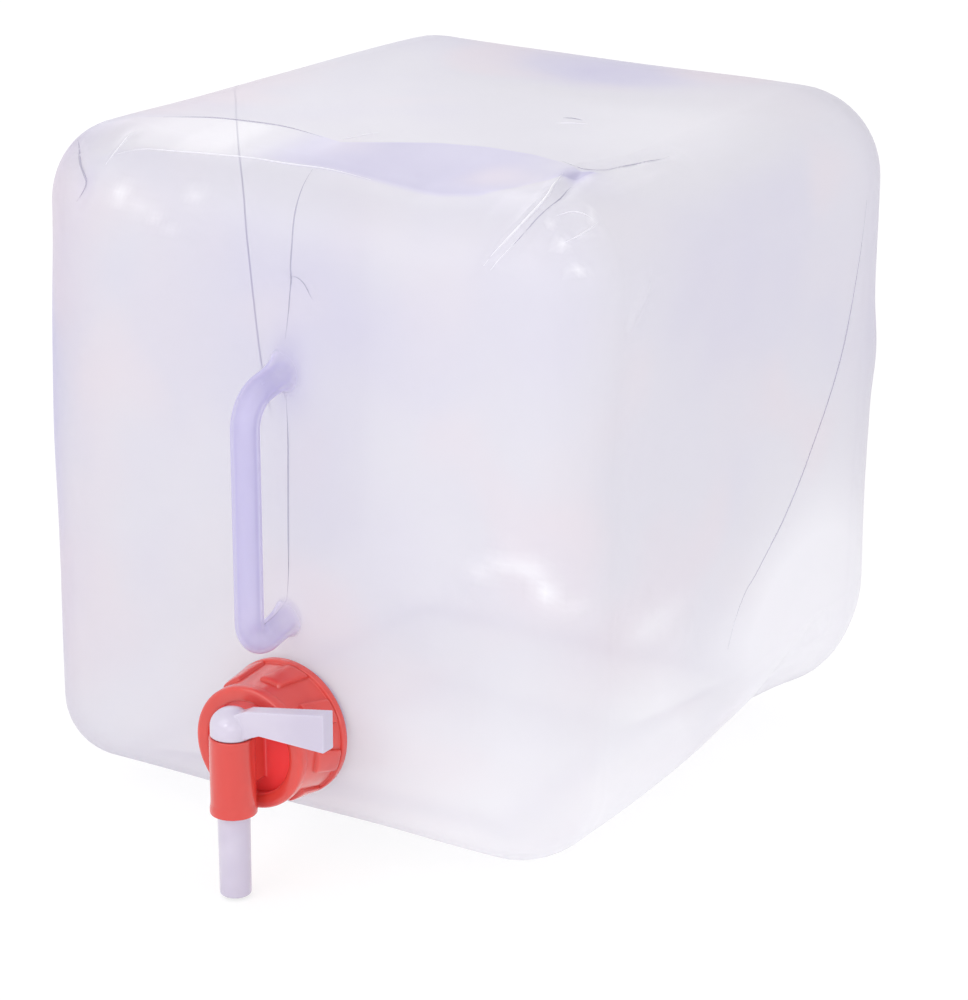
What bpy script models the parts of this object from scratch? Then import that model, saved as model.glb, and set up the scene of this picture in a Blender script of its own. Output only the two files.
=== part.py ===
# Collapsible water carrier: a thin blow-moulded cube with a carrying handle and a screw-on tap.
# Units are metres and +Z is up. The origin is the middle of the base, on the table. The tap and the
# handle are on the front wall, which faces -Y, and +X is to the right of someone who faces the tap.
import math

import bmesh
import bpy
from mathutils import Matrix, Vector

MM = 0.001

# Gap between two pieces that touch
SEAT_GAP = 0.3 * MM
# Extra length of a cutting tool, so that it passes right through
OVERRUN = 4 * MM

# Bag: a cube with round edges, which folds flat from the back
BAG_WIDTH = 262 * MM
BAG_DEPTH = 270 * MM
BAG_HEIGHT = 288 * MM
BAG_WALL = 0.8 * MM
BAG_EDGE_RADIUS = 36 * MM
BAG_CROWN = 2 * MM
BAG_STIFF_RIM = 8 * MM
BAG_EDGE_STEPS = 4
BAG_PANEL_CUTS = 7
# The base curls up softly along its rim, over this share of the way to the base's centre
BAG_HEEL_SHARE = 0.45
# A bag that isn't full is no true cube. For each corner, named by its sides in X, Y and Z, these are
# its radius and how far it leans in X, in Y and upwards, as shares of the edge radius. The base's
# corners curl up from the table, most of all the one at the back on the right.
bag_corner_shares = {
    (-1, -1, -1): (0.8, -0.1, -0.07, 0.3),
    (1, -1, -1): (1.1, -0.18, -0.13, 0.25),
    (-1, 1, -1): (1, 0, 0, 0.28),
    (1, 1, -1): (1.45, 0.08, 0.17, 0.47),
    (-1, -1, 1): (0.93, -0.11, -0.1, 0.02),
    (1, -1, 1): (0.94, 0, 0, 0),
    (-1, 1, 1): (1.1, 0.18, 0.11, -0.04),
    (1, 1, 1): (1.06, 0.06, 0.02, -0.02),
}

# Neck: the threaded mouth of the bag, low on the front wall
NECK_HEIGHT = 60 * MM
NECK_BORE_RADIUS = 18.5 * MM
NECK_WALL = 2.7 * MM
NECK_LENGTH = 25.1 * MM
NECK_ROOT_LIFT = 5.3 * MM
NECK_ROOT_SINK = 8 * MM
NECK_BEAD_LIFT = 3.3 * MM
NECK_BEAD_LENGTH = 1.6 * MM
NECK_BEAD_SETBACK = 4.2 * MM
NECK_LIP_ROUND = 0.8 * MM
NECK_SIDES = 40

# Gasket between the mouth and the tap
GASKET_THICKNESS = 2 * MM
GASKET_MARGIN = 0.5 * MM

# Screw collar: the red nut that clamps the tap on the mouth
THREAD_SPACE = 1.5 * MM
COLLAR_WALL = 2.2 * MM
COLLAR_TAPER = 2.5 * MM
COLLAR_BEAD_GAP = 0.8 * MM
COLLAR_RIM_STEP = 1.6 * MM
COLLAR_RIM_LENGTH = 3.2 * MM
COLLAR_RING_STEP = 0.9 * MM
COLLAR_RING_LENGTH = 5 * MM
COLLAR_RING_ROUND = 1.8 * MM
COLLAR_ROUND_STEPS = 3
COLLAR_STEP_BEVEL = 0.6 * MM
COLLAR_LIP_THICKNESS = 4 * MM
COLLAR_LIP_OVERLAP = 2.8 * MM
COLLAR_MOUTH_CHAMFER = 1.2 * MM
COLLAR_SKIRT_ROWS = 8
COLLAR_SIDES = 64
LUG_COUNT = 8
LUG_LIFT = 1.1 * MM
LUG_WIDTH_SHARE = 0.5
LUG_LENGTH_SHARE = 0.75
LUG_SLANT_SHARE = 0.25
LUG_FIRST_ANGLE = math.radians(-28)

# Tap key: lever, hub, hollow plug with a side port, and spout in one moulding
SPOUT_BORE_RADIUS = 4.8 * MM
SPOUT_WALL = 1.8 * MM
SPOUT_TIP_WALL = 1.6 * MM
SPOUT_TIP_HEIGHT = 1 * MM
SPOUT_TIP_ROUND = 0.6 * MM
PLUG_WALL = 2.3 * MM
PLUG_ABOVE_FOOT = 2 * MM
SNAP_BEAD_LENGTH = 1.2 * MM
HUB_STEP = 1.6 * MM
HUB_HEIGHT = 4 * MM
HUB_DOME_HEIGHT = 7.6 * MM
HUB_DOME_STEPS = 5
LEVER_LENGTH = 46.5 * MM
LEVER_THICKNESS = 7 * MM
LEVER_TIP_HEIGHT = 16 * MM
LEVER_ROOT_HEIGHT = 8.8 * MM
LEVER_ROOT_LENGTH = 15.6 * MM
LEVER_FLARE_HEIGHT = 3 * MM
LEVER_ROUND = 0.5 * MM
KEY_PORT_ANGLE = math.radians(90)
KEY_SIDES = 32

# Tap body: a flange behind the collar's lip, a short inlet and an upright barrel
FLANGE_MARGIN = 0.5 * MM
FLANGE_THICKNESS = 3 * MM
FLANGE_SIDES = 40
INLET_BORE_RADIUS = 4 * MM
INLET_WALL = 3 * MM
INLET_DROP = 4.5 * MM
INLET_SIDES = 24
SADDLE_WIDTH = 11 * MM
SADDLE_HEIGHT = 21 * MM
BARREL_TOP_WALL = 1.8 * MM
BARREL_FOOT_WALL = 2.2 * MM
BARREL_BELOW_NECK = 23.5 * MM
BARREL_ABOVE_NECK = 9.5 * MM
BARREL_ROUND = 0.8 * MM
BARREL_CLEARANCE = 0.7 * MM
GROOVE_DEPTH = 0.5 * MM
GROOVE_LENGTH = 2 * MM
GROOVE_ABOVE_FOOT = 6 * MM
BARREL_SIDES = 32

# Carrying handle: a hollow tube bowed out of the front wall above the neck
HANDLE_BELOW_TOP = 77.5 * MM
HANDLE_ABOVE_NECK = 47.5 * MM
HANDLE_REACH = 32 * MM
HANDLE_BORE_RADIUS = 4.3 * MM
HANDLE_WALL = 1.4 * MM
HANDLE_TOP_RISE = 6 * MM
HANDLE_FOOT_RISE = 7 * MM
HANDLE_TOP_BEND = 15 * MM
HANDLE_FOOT_BEND = 10 * MM
HANDLE_TOP_FLARE = 7.5 * MM
HANDLE_FOOT_FLARE = 4 * MM
HANDLE_SIDE_FLARE_SHARE = 0.3
HANDLE_ROOT_LENGTH = 10 * MM
HANDLE_ROOT_STEPS = 5
HANDLE_ROOT_SINK = 5 * MM
HANDLE_BEND_STEPS = 6
HANDLE_GRIP_STEPS = 5
HANDLE_SIDES = 16

# Edges sharper than these are shaded sharp, or bevelled
SHADE_ANGLE = math.radians(35)
BEVEL_ANGLE = math.radians(60)
# A point within this angle of a side's own direction lies on that side's panel
PANEL_ANGLE = math.radians(1)
# How near a plane a point counts as lying on it
CUT_TOLERANCE = 0.003 * MM

# Colours from the photograph, roughness and metallic value
FILM_LOOK = ((0.74, 0.72, 0.84, 1), 0.25, 0)
GRIP_LOOK = ((0.6, 0.58, 0.8, 1), 0.3, 0)
RED_LOOK = ((0.72, 0.09, 0.08, 1), 0.4, 0)
NATURAL_LOOK = ((0.67, 0.62, 0.72, 1), 0.35, 0)
GASKET_LOOK = ((0.75, 0.75, 0.72, 1), 0.7, 0)

# Radii that follow from the sizes
neck_radius = NECK_BORE_RADIUS + NECK_WALL
cavity_radius = neck_radius + THREAD_SPACE
skirt_front_radius = cavity_radius + COLLAR_WALL
skirt_rear_radius = skirt_front_radius + COLLAR_TAPER
flange_radius = cavity_radius - FLANGE_MARGIN
lip_radius = flange_radius - COLLAR_LIP_OVERLAP
plug_radius = SPOUT_BORE_RADIUS + PLUG_WALL
barrel_bore_radius = plug_radius + SEAT_GAP
barrel_foot_radius = barrel_bore_radius + BARREL_FOOT_WALL
hub_radius = plug_radius + HUB_STEP
inlet_radius = INLET_BORE_RADIUS + INLET_WALL
handle_radius = HANDLE_BORE_RADIUS + HANDLE_WALL

# Places that follow from the sizes
front_panel = -BAG_DEPTH / 2
neck_end = front_panel - NECK_LENGTH
gasket_back = neck_end - SEAT_GAP
flange_back = gasket_back - GASKET_THICKNESS - SEAT_GAP
lip_back = flange_back - FLANGE_THICKNESS - SEAT_GAP
collar_front = lip_back - COLLAR_LIP_THICKNESS
collar_back = front_panel - BAG_CROWN - NECK_BEAD_SETBACK - COLLAR_BEAD_GAP
barrel_depth = collar_front - BARREL_CLEARANCE - barrel_foot_radius
barrel_foot = NECK_HEIGHT - BARREL_BELOW_NECK
barrel_top = NECK_HEIGHT + BARREL_ABOVE_NECK
inlet_height = NECK_HEIGHT - INLET_DROP
hub_base = barrel_top + SEAT_GAP
handle_top = BAG_HEIGHT - HANDLE_BELOW_TOP
handle_foot = NECK_HEIGHT + HANDLE_ABOVE_NECK


def clear_scene():
    for thing in list(bpy.data.objects):
        bpy.data.objects.remove(thing, do_unlink=True)


def material(name, look):
    """A plain Principled material from a colour, a roughness and a metallic value."""
    colour, roughness, metallic = look
    made = bpy.data.materials.new(name)
    made.use_nodes = True
    shader = made.node_tree.nodes["Principled BSDF"]
    shader.inputs["Base Color"].default_value = colour
    shader.inputs["Roughness"].default_value = roughness
    shader.inputs["Metallic"].default_value = metallic
    made.diffuse_color = colour
    return made


def add_object(name, bm, look=None):
    """Turn a bmesh into a named object with a material of its own."""
    mesh = bpy.data.meshes.new(name)
    bm.to_mesh(mesh)
    bm.free()
    made = bpy.data.objects.new(name, mesh)
    bpy.context.collection.objects.link(made)
    if look:
        mesh.materials.append(material(name, look))
    return made


def shade(made):
    made.data.shade_smooth()
    made.data.set_sharp_from_angle(angle=SHADE_ANGLE)


def as_cutter(made):
    made.hide_render = True
    made.display_type = "WIRE"
    return made


def boolean(target, tool, operation="DIFFERENCE"):
    change = target.modifiers.new(operation.title(), "BOOLEAN")
    change.operation = operation
    change.solver = "EXACT"
    change.object = as_cutter(tool)


def axis(name, place):
    """An empty on the axis of a joint, to carry what turns or slides there."""
    made = bpy.data.objects.new(name, None)
    made.location = place
    bpy.context.collection.objects.link(made)
    return made


def carry(parent, child):
    """Parent a piece to an empty and move its origin there, with its shape left in place."""
    child.data.transform(Matrix.Translation(-parent.location))
    child.parent = parent


def join_rings(bm, rings, closed):
    """Faces between rings of points. A closed row of rings meets itself, and an open one is capped."""
    pairs = list(zip(rings, rings[1:]))
    if closed:
        pairs.append((rings[-1], rings[0]))
    else:
        bm.faces.new(rings[0])
        bm.faces.new(rings[-1])
    for this, after in pairs:
        for step in range(len(this)):
            beside = (step + 1) % len(this)
            bm.faces.new((this[step], this[beside], after[beside], after[step]))
    bmesh.ops.recalc_face_normals(bm, faces=bm.faces)


def turned(profile, sides, place, facing, closed=True, lift=None):
    """Spin an outline of (radius, height) points round an axis that starts at place and runs along
    facing. lift(angle, point) adds to the radius of a point, for what stands on the skin."""
    bm = bmesh.new()
    rings = []
    for radius, height in profile:
        ring = []
        for step in range(sides):
            angle = math.tau * step / sides
            far = radius + (lift(angle, (radius, height)) if lift else 0)
            ring.append(bm.verts.new((far * math.cos(angle), far * math.sin(angle), height)))
        rings.append(ring)
    join_rings(bm, rings, closed)
    turn = Vector((0, 0, 1)).rotation_difference(Vector(facing)).to_matrix().to_4x4()
    bmesh.ops.transform(bm, matrix=Matrix.Translation(place) @ turn, verts=bm.verts)
    return bm


def rod(radius, length, sides, place, facing):
    """A plain round bar, closed at both ends."""
    return turned([(radius, 0), (radius, length)], sides, place, facing, closed=False)


def arc(centre, radius, start, end, steps):
    """Points on a stretch of a circle, with angles in degrees."""
    points = []
    for step in range(steps + 1):
        angle = math.radians(start + (end - start) * step / steps)
        points.append((centre[0] + radius * math.cos(angle), centre[1] + radius * math.sin(angle)))
    return points


def bag_corners():
    """The sides, the centre and the radius of the ball that rounds each corner of the bag."""
    half = Vector((BAG_WIDTH, BAG_DEPTH, BAG_HEIGHT)) / 2
    corners = []
    for sides, (radius_share, *lean_shares) in bag_corner_shares.items():
        radius = BAG_EDGE_RADIUS * radius_share
        centre = [
            side * (reach - radius) + BAG_EDGE_RADIUS * lean
            for side, reach, lean in zip(sides, half, lean_shares)
        ]
        corners.append((sides, Vector(centre), radius))
    return corners


def bag_skin(grow=0):
    """A closed surface with the bag's shape: a cube with round edges, leaning corners and crowned
    panels, which stands on the flat middle of its base. grow moves it outwards all round, or
    inwards where it is negative."""
    half = Vector((BAG_WIDTH, BAG_DEPTH, BAG_HEIGHT)) / 2
    flat = half - Vector((BAG_EDGE_RADIUS,) * 3)
    bm = bmesh.new()
    bmesh.ops.create_cube(bm, size=1)
    bmesh.ops.scale(bm, vec=half * 2, verts=bm.verts)
    bmesh.ops.bevel(
        bm,
        geom=bm.edges[:],
        offset=BAG_EDGE_RADIUS,
        offset_type="OFFSET",
        segments=BAG_EDGE_STEPS,
        profile=0.5,
        affect="EDGES",
    )
    long_edges = [edge for edge in bm.edges if edge.calc_length() > BAG_EDGE_RADIUS]
    bmesh.ops.subdivide_edges(bm, edges=long_edges, cuts=BAG_PANEL_CUTS, use_grid_fill=True)
    corners = bag_corners()
    for vert in bm.verts:
        core = Vector([max(-flat[side], min(flat[side], vert.co[side])) for side in range(3)])
        outward = (vert.co - core) / BAG_EDGE_RADIUS
        # The way from the middle to each side, from -1 to 1, sets how much each corner counts
        way = [core[side] / flat[side] for side in range(3)]
        centre, radius = Vector(), 0
        for sides, corner_centre, corner_radius in corners:
            weight = math.prod((1 + side * along) / 2 for side, along in zip(sides, way))
            centre += corner_centre * weight
            radius += corner_radius * weight
        vert.co = centre + outward * (radius + grow)
        facing = max(range(3), key=lambda side: abs(outward[side]))
        if abs(outward[facing]) < math.cos(PANEL_ANGLE):
            continue
        across = [way[side] for side in range(3) if side != facing]
        if outward.z < 0 and facing == 2:
            # The middle of the base lies on the table
            inward = min(1, (1 - max(map(abs, across))) / BAG_HEEL_SHARE)
            vert.co.z += math.sin(inward * math.pi / 2) ** 2 * (-half.z - grow - vert.co.z)
        else:
            swell = math.prod(math.cos(along * math.pi / 2) ** 2 for along in across)
            vert.co[facing] += math.copysign(BAG_CROWN * swell, outward[facing])
    bmesh.ops.translate(bm, verts=bm.verts, vec=(0, 0, half.z))
    bmesh.ops.recalc_face_normals(bm, faces=bm.faces)
    return bm


def trim(bm, cuts):
    """Cut a surface by planes. Each cut is a point and a direction, and what lies beyond goes."""
    for point, outward in cuts:
        bmesh.ops.bisect_plane(
            bm,
            geom=bm.verts[:] + bm.edges[:] + bm.faces[:],
            plane_co=point,
            plane_no=outward,
            dist=CUT_TOLERANCE,
            clear_outer=True,
        )


def bag_panel(name, cuts):
    """A piece of the bag's wall: its outer and inner skins, trimmed alike and joined round the rim."""
    bm = bag_skin()
    trim(bm, cuts)
    inner = bag_skin(grow=-BAG_WALL)
    trim(inner, cuts)
    bmesh.ops.reverse_faces(inner, faces=inner.faces)
    inner_mesh = bpy.data.meshes.new(name + "_inner")
    inner.to_mesh(inner_mesh)
    inner.free()
    bm.from_mesh(inner_mesh)
    bpy.data.meshes.remove(inner_mesh)
    rims = [edge for edge in bm.edges if edge.is_boundary]
    bmesh.ops.bridge_loops(bm, edges=rims)
    bmesh.ops.recalc_face_normals(bm, faces=bm.faces)
    made = add_object(name, bm, FILM_LOOK)
    shade(made)
    return made


def make_bag():
    """The six walls. The front and the back keep a stiff rim, and the four between them fold."""
    rim = BAG_DEPTH / 2 - BAG_EDGE_RADIUS - BAG_STIFF_RIM
    half_gap = SEAT_GAP / 2
    front_wall = bag_panel("bag_front_wall", [((0, -rim - half_gap, 0), (0, 1, 0))])
    back_wall = bag_panel("bag_back_wall", [((0, rim + half_gap, 0), (0, -1, 0))])
    carry(axis("collapse_axis", Vector((0, rim, 0))), back_wall)
    between = [((0, -rim + half_gap, 0), (0, -1, 0)), ((0, rim - half_gap, 0), (0, 1, 0))]
    corner_x = BAG_WIDTH / 2 - BAG_EDGE_RADIUS
    corner_heights = {-1: BAG_EDGE_RADIUS, 1: BAG_HEIGHT - BAG_EDGE_RADIUS}
    for name, way_x, way_z in (
        ("bag_top_wall", 0, 1),
        ("bag_bottom_wall", 0, -1),
        ("bag_left_wall", -1, 0),
        ("bag_right_wall", 1, 0),
    ):
        cuts = list(between)
        for side in (-1, 1):
            side_x = way_x or side
            side_z = way_z or side
            corner = Vector((side_x * corner_x, 0, corner_heights[side_z]))
            # A wall ends halfway round each of its two corners
            outward = Vector((side_x, 0, -side_z)).normalized()
            if way_x:
                outward.negate()
            cuts.append((corner - outward * half_gap, outward))
        bag_panel(name, cuts)
    for name, height, radius, sides in (
        ("mouth_cutter", NECK_HEIGHT, NECK_BORE_RADIUS, NECK_SIDES),
        ("handle_top_cutter", handle_top, HANDLE_BORE_RADIUS, HANDLE_SIDES),
        ("handle_foot_cutter", handle_foot, HANDLE_BORE_RADIUS, HANDLE_SIDES),
    ):
        place = (0, front_panel + BAG_EDGE_RADIUS / 2, height)
        boolean(front_wall, add_object(name, rod(radius, BAG_EDGE_RADIUS, sides, place, (0, -1, 0))))


def make_bag_tool():
    """A copy of the whole bag, a seat gap larger, which trims what stands on the front wall."""
    return as_cutter(add_object("bag_space_cutter", bag_skin(grow=SEAT_GAP)))


def make_neck(bag_tool):
    """The mouth: a wide root that follows the wall, a bead and a plain tube under the thread."""
    bead_front = BAG_CROWN + NECK_BEAD_SETBACK
    bead_back = bead_front - NECK_BEAD_LENGTH
    root_radius = neck_radius + NECK_ROOT_LIFT
    bead_radius = neck_radius + NECK_BEAD_LIFT
    profile = [
        (NECK_BORE_RADIUS, -NECK_ROOT_SINK),
        (root_radius, -NECK_ROOT_SINK),
        (root_radius, bead_back - NECK_BEAD_LENGTH),
        (bead_radius, bead_back),
        (bead_radius, bead_front),
        (neck_radius, bead_front + NECK_BEAD_LENGTH / 2),
        (neck_radius, NECK_LENGTH - NECK_LIP_ROUND),
        (neck_radius - NECK_LIP_ROUND, NECK_LENGTH),
        (NECK_BORE_RADIUS, NECK_LENGTH),
    ]
    bm = turned(profile, NECK_SIDES, (0, front_panel, NECK_HEIGHT), (0, -1, 0))
    made = add_object("bag_neck", bm, FILM_LOOK)
    boolean(made, bag_tool)
    shade(made)


def handle_route():
    """The middle line of the handle, as points in the plane X = 0, with a tube radius in that plane
    and one across it for each. Both arms rise towards the wall, and the grip runs straight between."""
    wall = front_panel + HANDLE_ROOT_SINK
    grip = front_panel - HANDLE_REACH
    top_slope = math.atan2(HANDLE_TOP_RISE, HANDLE_REACH)
    foot_slope = math.atan2(HANDLE_FOOT_RISE, HANDLE_REACH)
    # Each bend's circle touches both the grip's line and its arm's sloping line
    arm_at_top_bend = handle_top - (HANDLE_REACH - HANDLE_TOP_BEND) * math.tan(top_slope)
    arm_at_foot_bend = handle_foot - (HANDLE_REACH - HANDLE_FOOT_BEND) * math.tan(foot_slope)
    top_centre = (grip + HANDLE_TOP_BEND, arm_at_top_bend - HANDLE_TOP_BEND / math.cos(top_slope))
    foot_centre = (grip + HANDLE_FOOT_BEND, arm_at_foot_bend + HANDLE_FOOT_BEND / math.cos(foot_slope))
    top_end = 90 + math.degrees(top_slope)
    foot_end = 270 + math.degrees(foot_slope)
    top_bend = arc(top_centre, HANDLE_TOP_BEND, top_end, 180, HANDLE_BEND_STEPS)
    foot_bend = arc(foot_centre, HANDLE_FOOT_BEND, 180, foot_end, HANDLE_BEND_STEPS)
    straight_top = top_bend[-1][1]
    straight_foot = foot_bend[0][1]
    grip_points = []
    for step in range(1, HANDLE_GRIP_STEPS):
        share = step / HANDLE_GRIP_STEPS
        grip_points.append((grip, straight_top + (straight_foot - straight_top) * share))
    skin = front_panel - BAG_CROWN / 2
    top_root, foot_root = [], []
    flare = []
    for step in range(HANDLE_ROOT_STEPS + 1):
        out = HANDLE_ROOT_LENGTH * step / HANDLE_ROOT_STEPS
        top_root.append((skin - out, handle_top - out * math.tan(top_slope)))
        foot_root.append((skin - out, handle_foot - out * math.tan(foot_slope)))
        flare.append((1 - step / HANDLE_ROOT_STEPS) ** 2)
    top_root.insert(0, (wall, handle_top + (wall - skin) * math.tan(top_slope)))
    foot_root.insert(0, (wall, handle_foot + (wall - skin) * math.tan(foot_slope)))
    flare.insert(0, 1)
    middle = top_bend + grip_points + foot_bend
    route = top_root + middle + foot_root[::-1]
    flares = [HANDLE_TOP_FLARE * share for share in flare]
    flares += [0] * len(middle)
    flares += [HANDLE_FOOT_FLARE * share for share in flare[::-1]]
    radii = [(handle_radius + wide, handle_radius + wide * HANDLE_SIDE_FLARE_SHARE) for wide in flares]
    return route, radii


def swept(route, radii, sides):
    """An oval tube along points in the plane X = 0, closed at both ends. Each point has a radius in
    that plane and one across it."""
    bm = bmesh.new()
    rings = []
    for number, (point, (tall, wide)) in enumerate(zip(route, radii)):
        before = Vector(route[max(number - 1, 0)])
        after = Vector(route[min(number + 1, len(route) - 1)])
        along = (after - before).normalized()
        across = Vector((0, -along.y, along.x))
        centre = Vector((0, point[0], point[1]))
        ring = []
        for step in range(sides):
            angle = math.tau * step / sides
            offset = Vector((math.cos(angle) * wide, 0, 0)) + across * math.sin(angle) * tall
            ring.append(bm.verts.new(centre + offset))
        rings.append(ring)
    join_rings(bm, rings, closed=False)
    return bm


def make_handle(bag_tool):
    """The carrying handle, with its bore open to the bag at both roots."""
    route, radii = handle_route()
    made = add_object("carry_handle", swept(route, radii, HANDLE_SIDES), GRIP_LOOK)
    bore_radii = [(HANDLE_BORE_RADIUS, HANDLE_BORE_RADIUS)] * len(route)
    boolean(made, add_object("handle_bore_cutter", swept(route, bore_radii, HANDLE_SIDES)))
    boolean(made, bag_tool)
    shade(made)


def make_gasket(tap_axis):
    """The flat ring that seals the mouth against the tap's flange."""
    inner = NECK_BORE_RADIUS + GASKET_MARGIN
    outer = neck_radius + GASKET_MARGIN
    profile = [(inner, 0), (outer, 0), (outer, GASKET_THICKNESS), (inner, GASKET_THICKNESS)]
    bm = turned(profile, NECK_SIDES, (0, gasket_back, NECK_HEIGHT), (0, -1, 0))
    made = add_object("neck_gasket", bm, GASKET_LOOK)
    carry(tap_axis, made)
    shade(made)


def make_collar(collar_axis):
    """The screw collar, turned about the neck's axis, with slanted grip lugs on its cone. Heights
    run forward from its back edge."""
    front = collar_back - collar_front
    lip_start = front - COLLAR_LIP_THICKNESS
    ring_start = front - COLLAR_RING_LENGTH
    ring_radius = skirt_front_radius + COLLAR_RING_STEP
    rim_radius = skirt_rear_radius + COLLAR_RIM_STEP
    skirt = []
    for row in range(COLLAR_SKIRT_ROWS + 1):
        share = row / COLLAR_SKIRT_ROWS
        height = COLLAR_RIM_LENGTH + (ring_start - COLLAR_RIM_LENGTH) * share
        skirt.append((skirt_rear_radius - COLLAR_TAPER * share, height))
    round_height = front - COLLAR_RING_ROUND
    outer_centre = (ring_radius - COLLAR_RING_ROUND, round_height)
    inner_centre = (lip_radius + COLLAR_RING_ROUND, round_height)
    profile = [
        (cavity_radius + COLLAR_MOUTH_CHAMFER, 0),
        (rim_radius, 0),
        (rim_radius, COLLAR_RIM_LENGTH - COLLAR_STEP_BEVEL),
        *skirt,
        (ring_radius, ring_start + COLLAR_STEP_BEVEL),
        *arc(outer_centre, COLLAR_RING_ROUND, 0, 90, COLLAR_ROUND_STEPS),
        *arc(inner_centre, COLLAR_RING_ROUND, 90, 180, COLLAR_ROUND_STEPS),
        (lip_radius, lip_start),
        (cavity_radius, lip_start),
        (cavity_radius, COLLAR_MOUTH_CHAMFER),
    ]

    def lug(angle, point):
        """Raise the cone where a lug stands. A lug leans as it comes forward."""
        if point not in skirt:
            return 0
        share = skirt.index(point) / COLLAR_SKIRT_ROWS
        if not 0 < share < LUG_LENGTH_SHARE:
            return 0
        along = (angle - LUG_FIRST_ANGLE) / math.tau * LUG_COUNT - share * LUG_SLANT_SHARE
        return LUG_LIFT if along % 1 < LUG_WIDTH_SHARE else 0

    place = (0, collar_back, NECK_HEIGHT)
    made = add_object("screw_collar", turned(profile, COLLAR_SIDES, place, (0, -1, 0), lift=lug), RED_LOOK)
    carry(collar_axis, made)
    shade(made)


def make_tap_body(tap_axis):
    """Flange, inlet and barrel in one moulding, bored for the key and for the water."""
    forward = (0, -1, 0)
    upward = (0, 0, 1)
    flange_place = (0, flange_back, NECK_HEIGHT)
    flange = rod(flange_radius, FLANGE_THICKNESS, FLANGE_SIDES, flange_place, forward)
    made = add_object("tap_body", flange, RED_LOOK)
    # The inlet and its saddle start inside the flange, clear of its back face
    inlet_back = flange_back - SEAT_GAP
    inlet_length = inlet_back - barrel_depth
    inlet = rod(inlet_radius, inlet_length, INLET_SIDES, (0, inlet_back, inlet_height), forward)
    boolean(made, add_object("inlet_shape", inlet), "UNION")
    saddle = bmesh.new()
    bmesh.ops.create_cube(saddle, size=1)
    bmesh.ops.scale(saddle, vec=(SADDLE_WIDTH, inlet_length, SADDLE_HEIGHT), verts=saddle.verts)
    saddle_middle = (0, inlet_back - inlet_length / 2, barrel_top - BARREL_ROUND - SADDLE_HEIGHT / 2)
    bmesh.ops.translate(saddle, vec=saddle_middle, verts=saddle.verts)
    boolean(made, add_object("saddle_shape", saddle), "UNION")
    barrel_length = barrel_top - barrel_foot
    # The barrel's own hollow is a little narrower than the bore that is cut through it afterwards
    hollow_radius = plug_radius - SEAT_GAP
    barrel_profile = [
        (hollow_radius, 0),
        (barrel_foot_radius - BARREL_ROUND, 0),
        (barrel_foot_radius, BARREL_ROUND),
        (barrel_bore_radius + BARREL_TOP_WALL, barrel_length),
        (hollow_radius, barrel_length),
    ]
    barrel = turned(barrel_profile, BARREL_SIDES, (0, barrel_depth, barrel_foot), upward)
    boolean(made, add_object("barrel_shape", barrel), "UNION")
    groove_radius = barrel_bore_radius + GROOVE_DEPTH
    groove_start = OVERRUN + GROOVE_ABOVE_FOOT
    groove_end = groove_start + GROOVE_LENGTH
    bore_profile = [
        (barrel_bore_radius, 0),
        (barrel_bore_radius, groove_start),
        (groove_radius, groove_start + GROOVE_DEPTH),
        (groove_radius, groove_end - GROOVE_DEPTH),
        (barrel_bore_radius, groove_end),
        (barrel_bore_radius, barrel_length + OVERRUN * 2),
    ]
    bore_place = (0, barrel_depth, barrel_foot - OVERRUN)
    bore = turned(bore_profile, BARREL_SIDES, bore_place, upward, closed=False)
    boolean(made, add_object("barrel_bore_cutter", bore))
    water_back = flange_back + OVERRUN
    water_place = (0, water_back, inlet_height)
    water_way = rod(INLET_BORE_RADIUS, water_back - barrel_depth, INLET_SIDES, water_place, forward)
    boolean(made, add_object("water_way_cutter", water_way))
    carry(tap_axis, made)
    shade(made)


def lever_shape():
    """The lever as a side view in X and Z, given its thickness in Y. It deepens towards its tip."""
    bottom = hub_base + HUB_HEIGHT
    outline = [
        (0, bottom - LEVER_FLARE_HEIGHT),
        (hub_radius, bottom - LEVER_FLARE_HEIGHT),
        (LEVER_ROOT_LENGTH, bottom),
        (LEVER_LENGTH, bottom),
        (LEVER_LENGTH, bottom + LEVER_TIP_HEIGHT),
        (hub_radius, bottom + LEVER_ROOT_HEIGHT),
        (0, bottom + LEVER_ROOT_HEIGHT / 2),
    ]
    bm = bmesh.new()
    near = [bm.verts.new((x, barrel_depth - LEVER_THICKNESS / 2, z)) for x, z in outline]
    face = bm.faces.new(near)
    grown = bmesh.ops.extrude_face_region(bm, geom=[face])
    moved = [part for part in grown["geom"] if isinstance(part, bmesh.types.BMVert)]
    bmesh.ops.translate(bm, verts=moved, vec=(0, LEVER_THICKNESS, 0))
    bmesh.ops.recalc_face_normals(bm, faces=bm.faces)
    return bm


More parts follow.
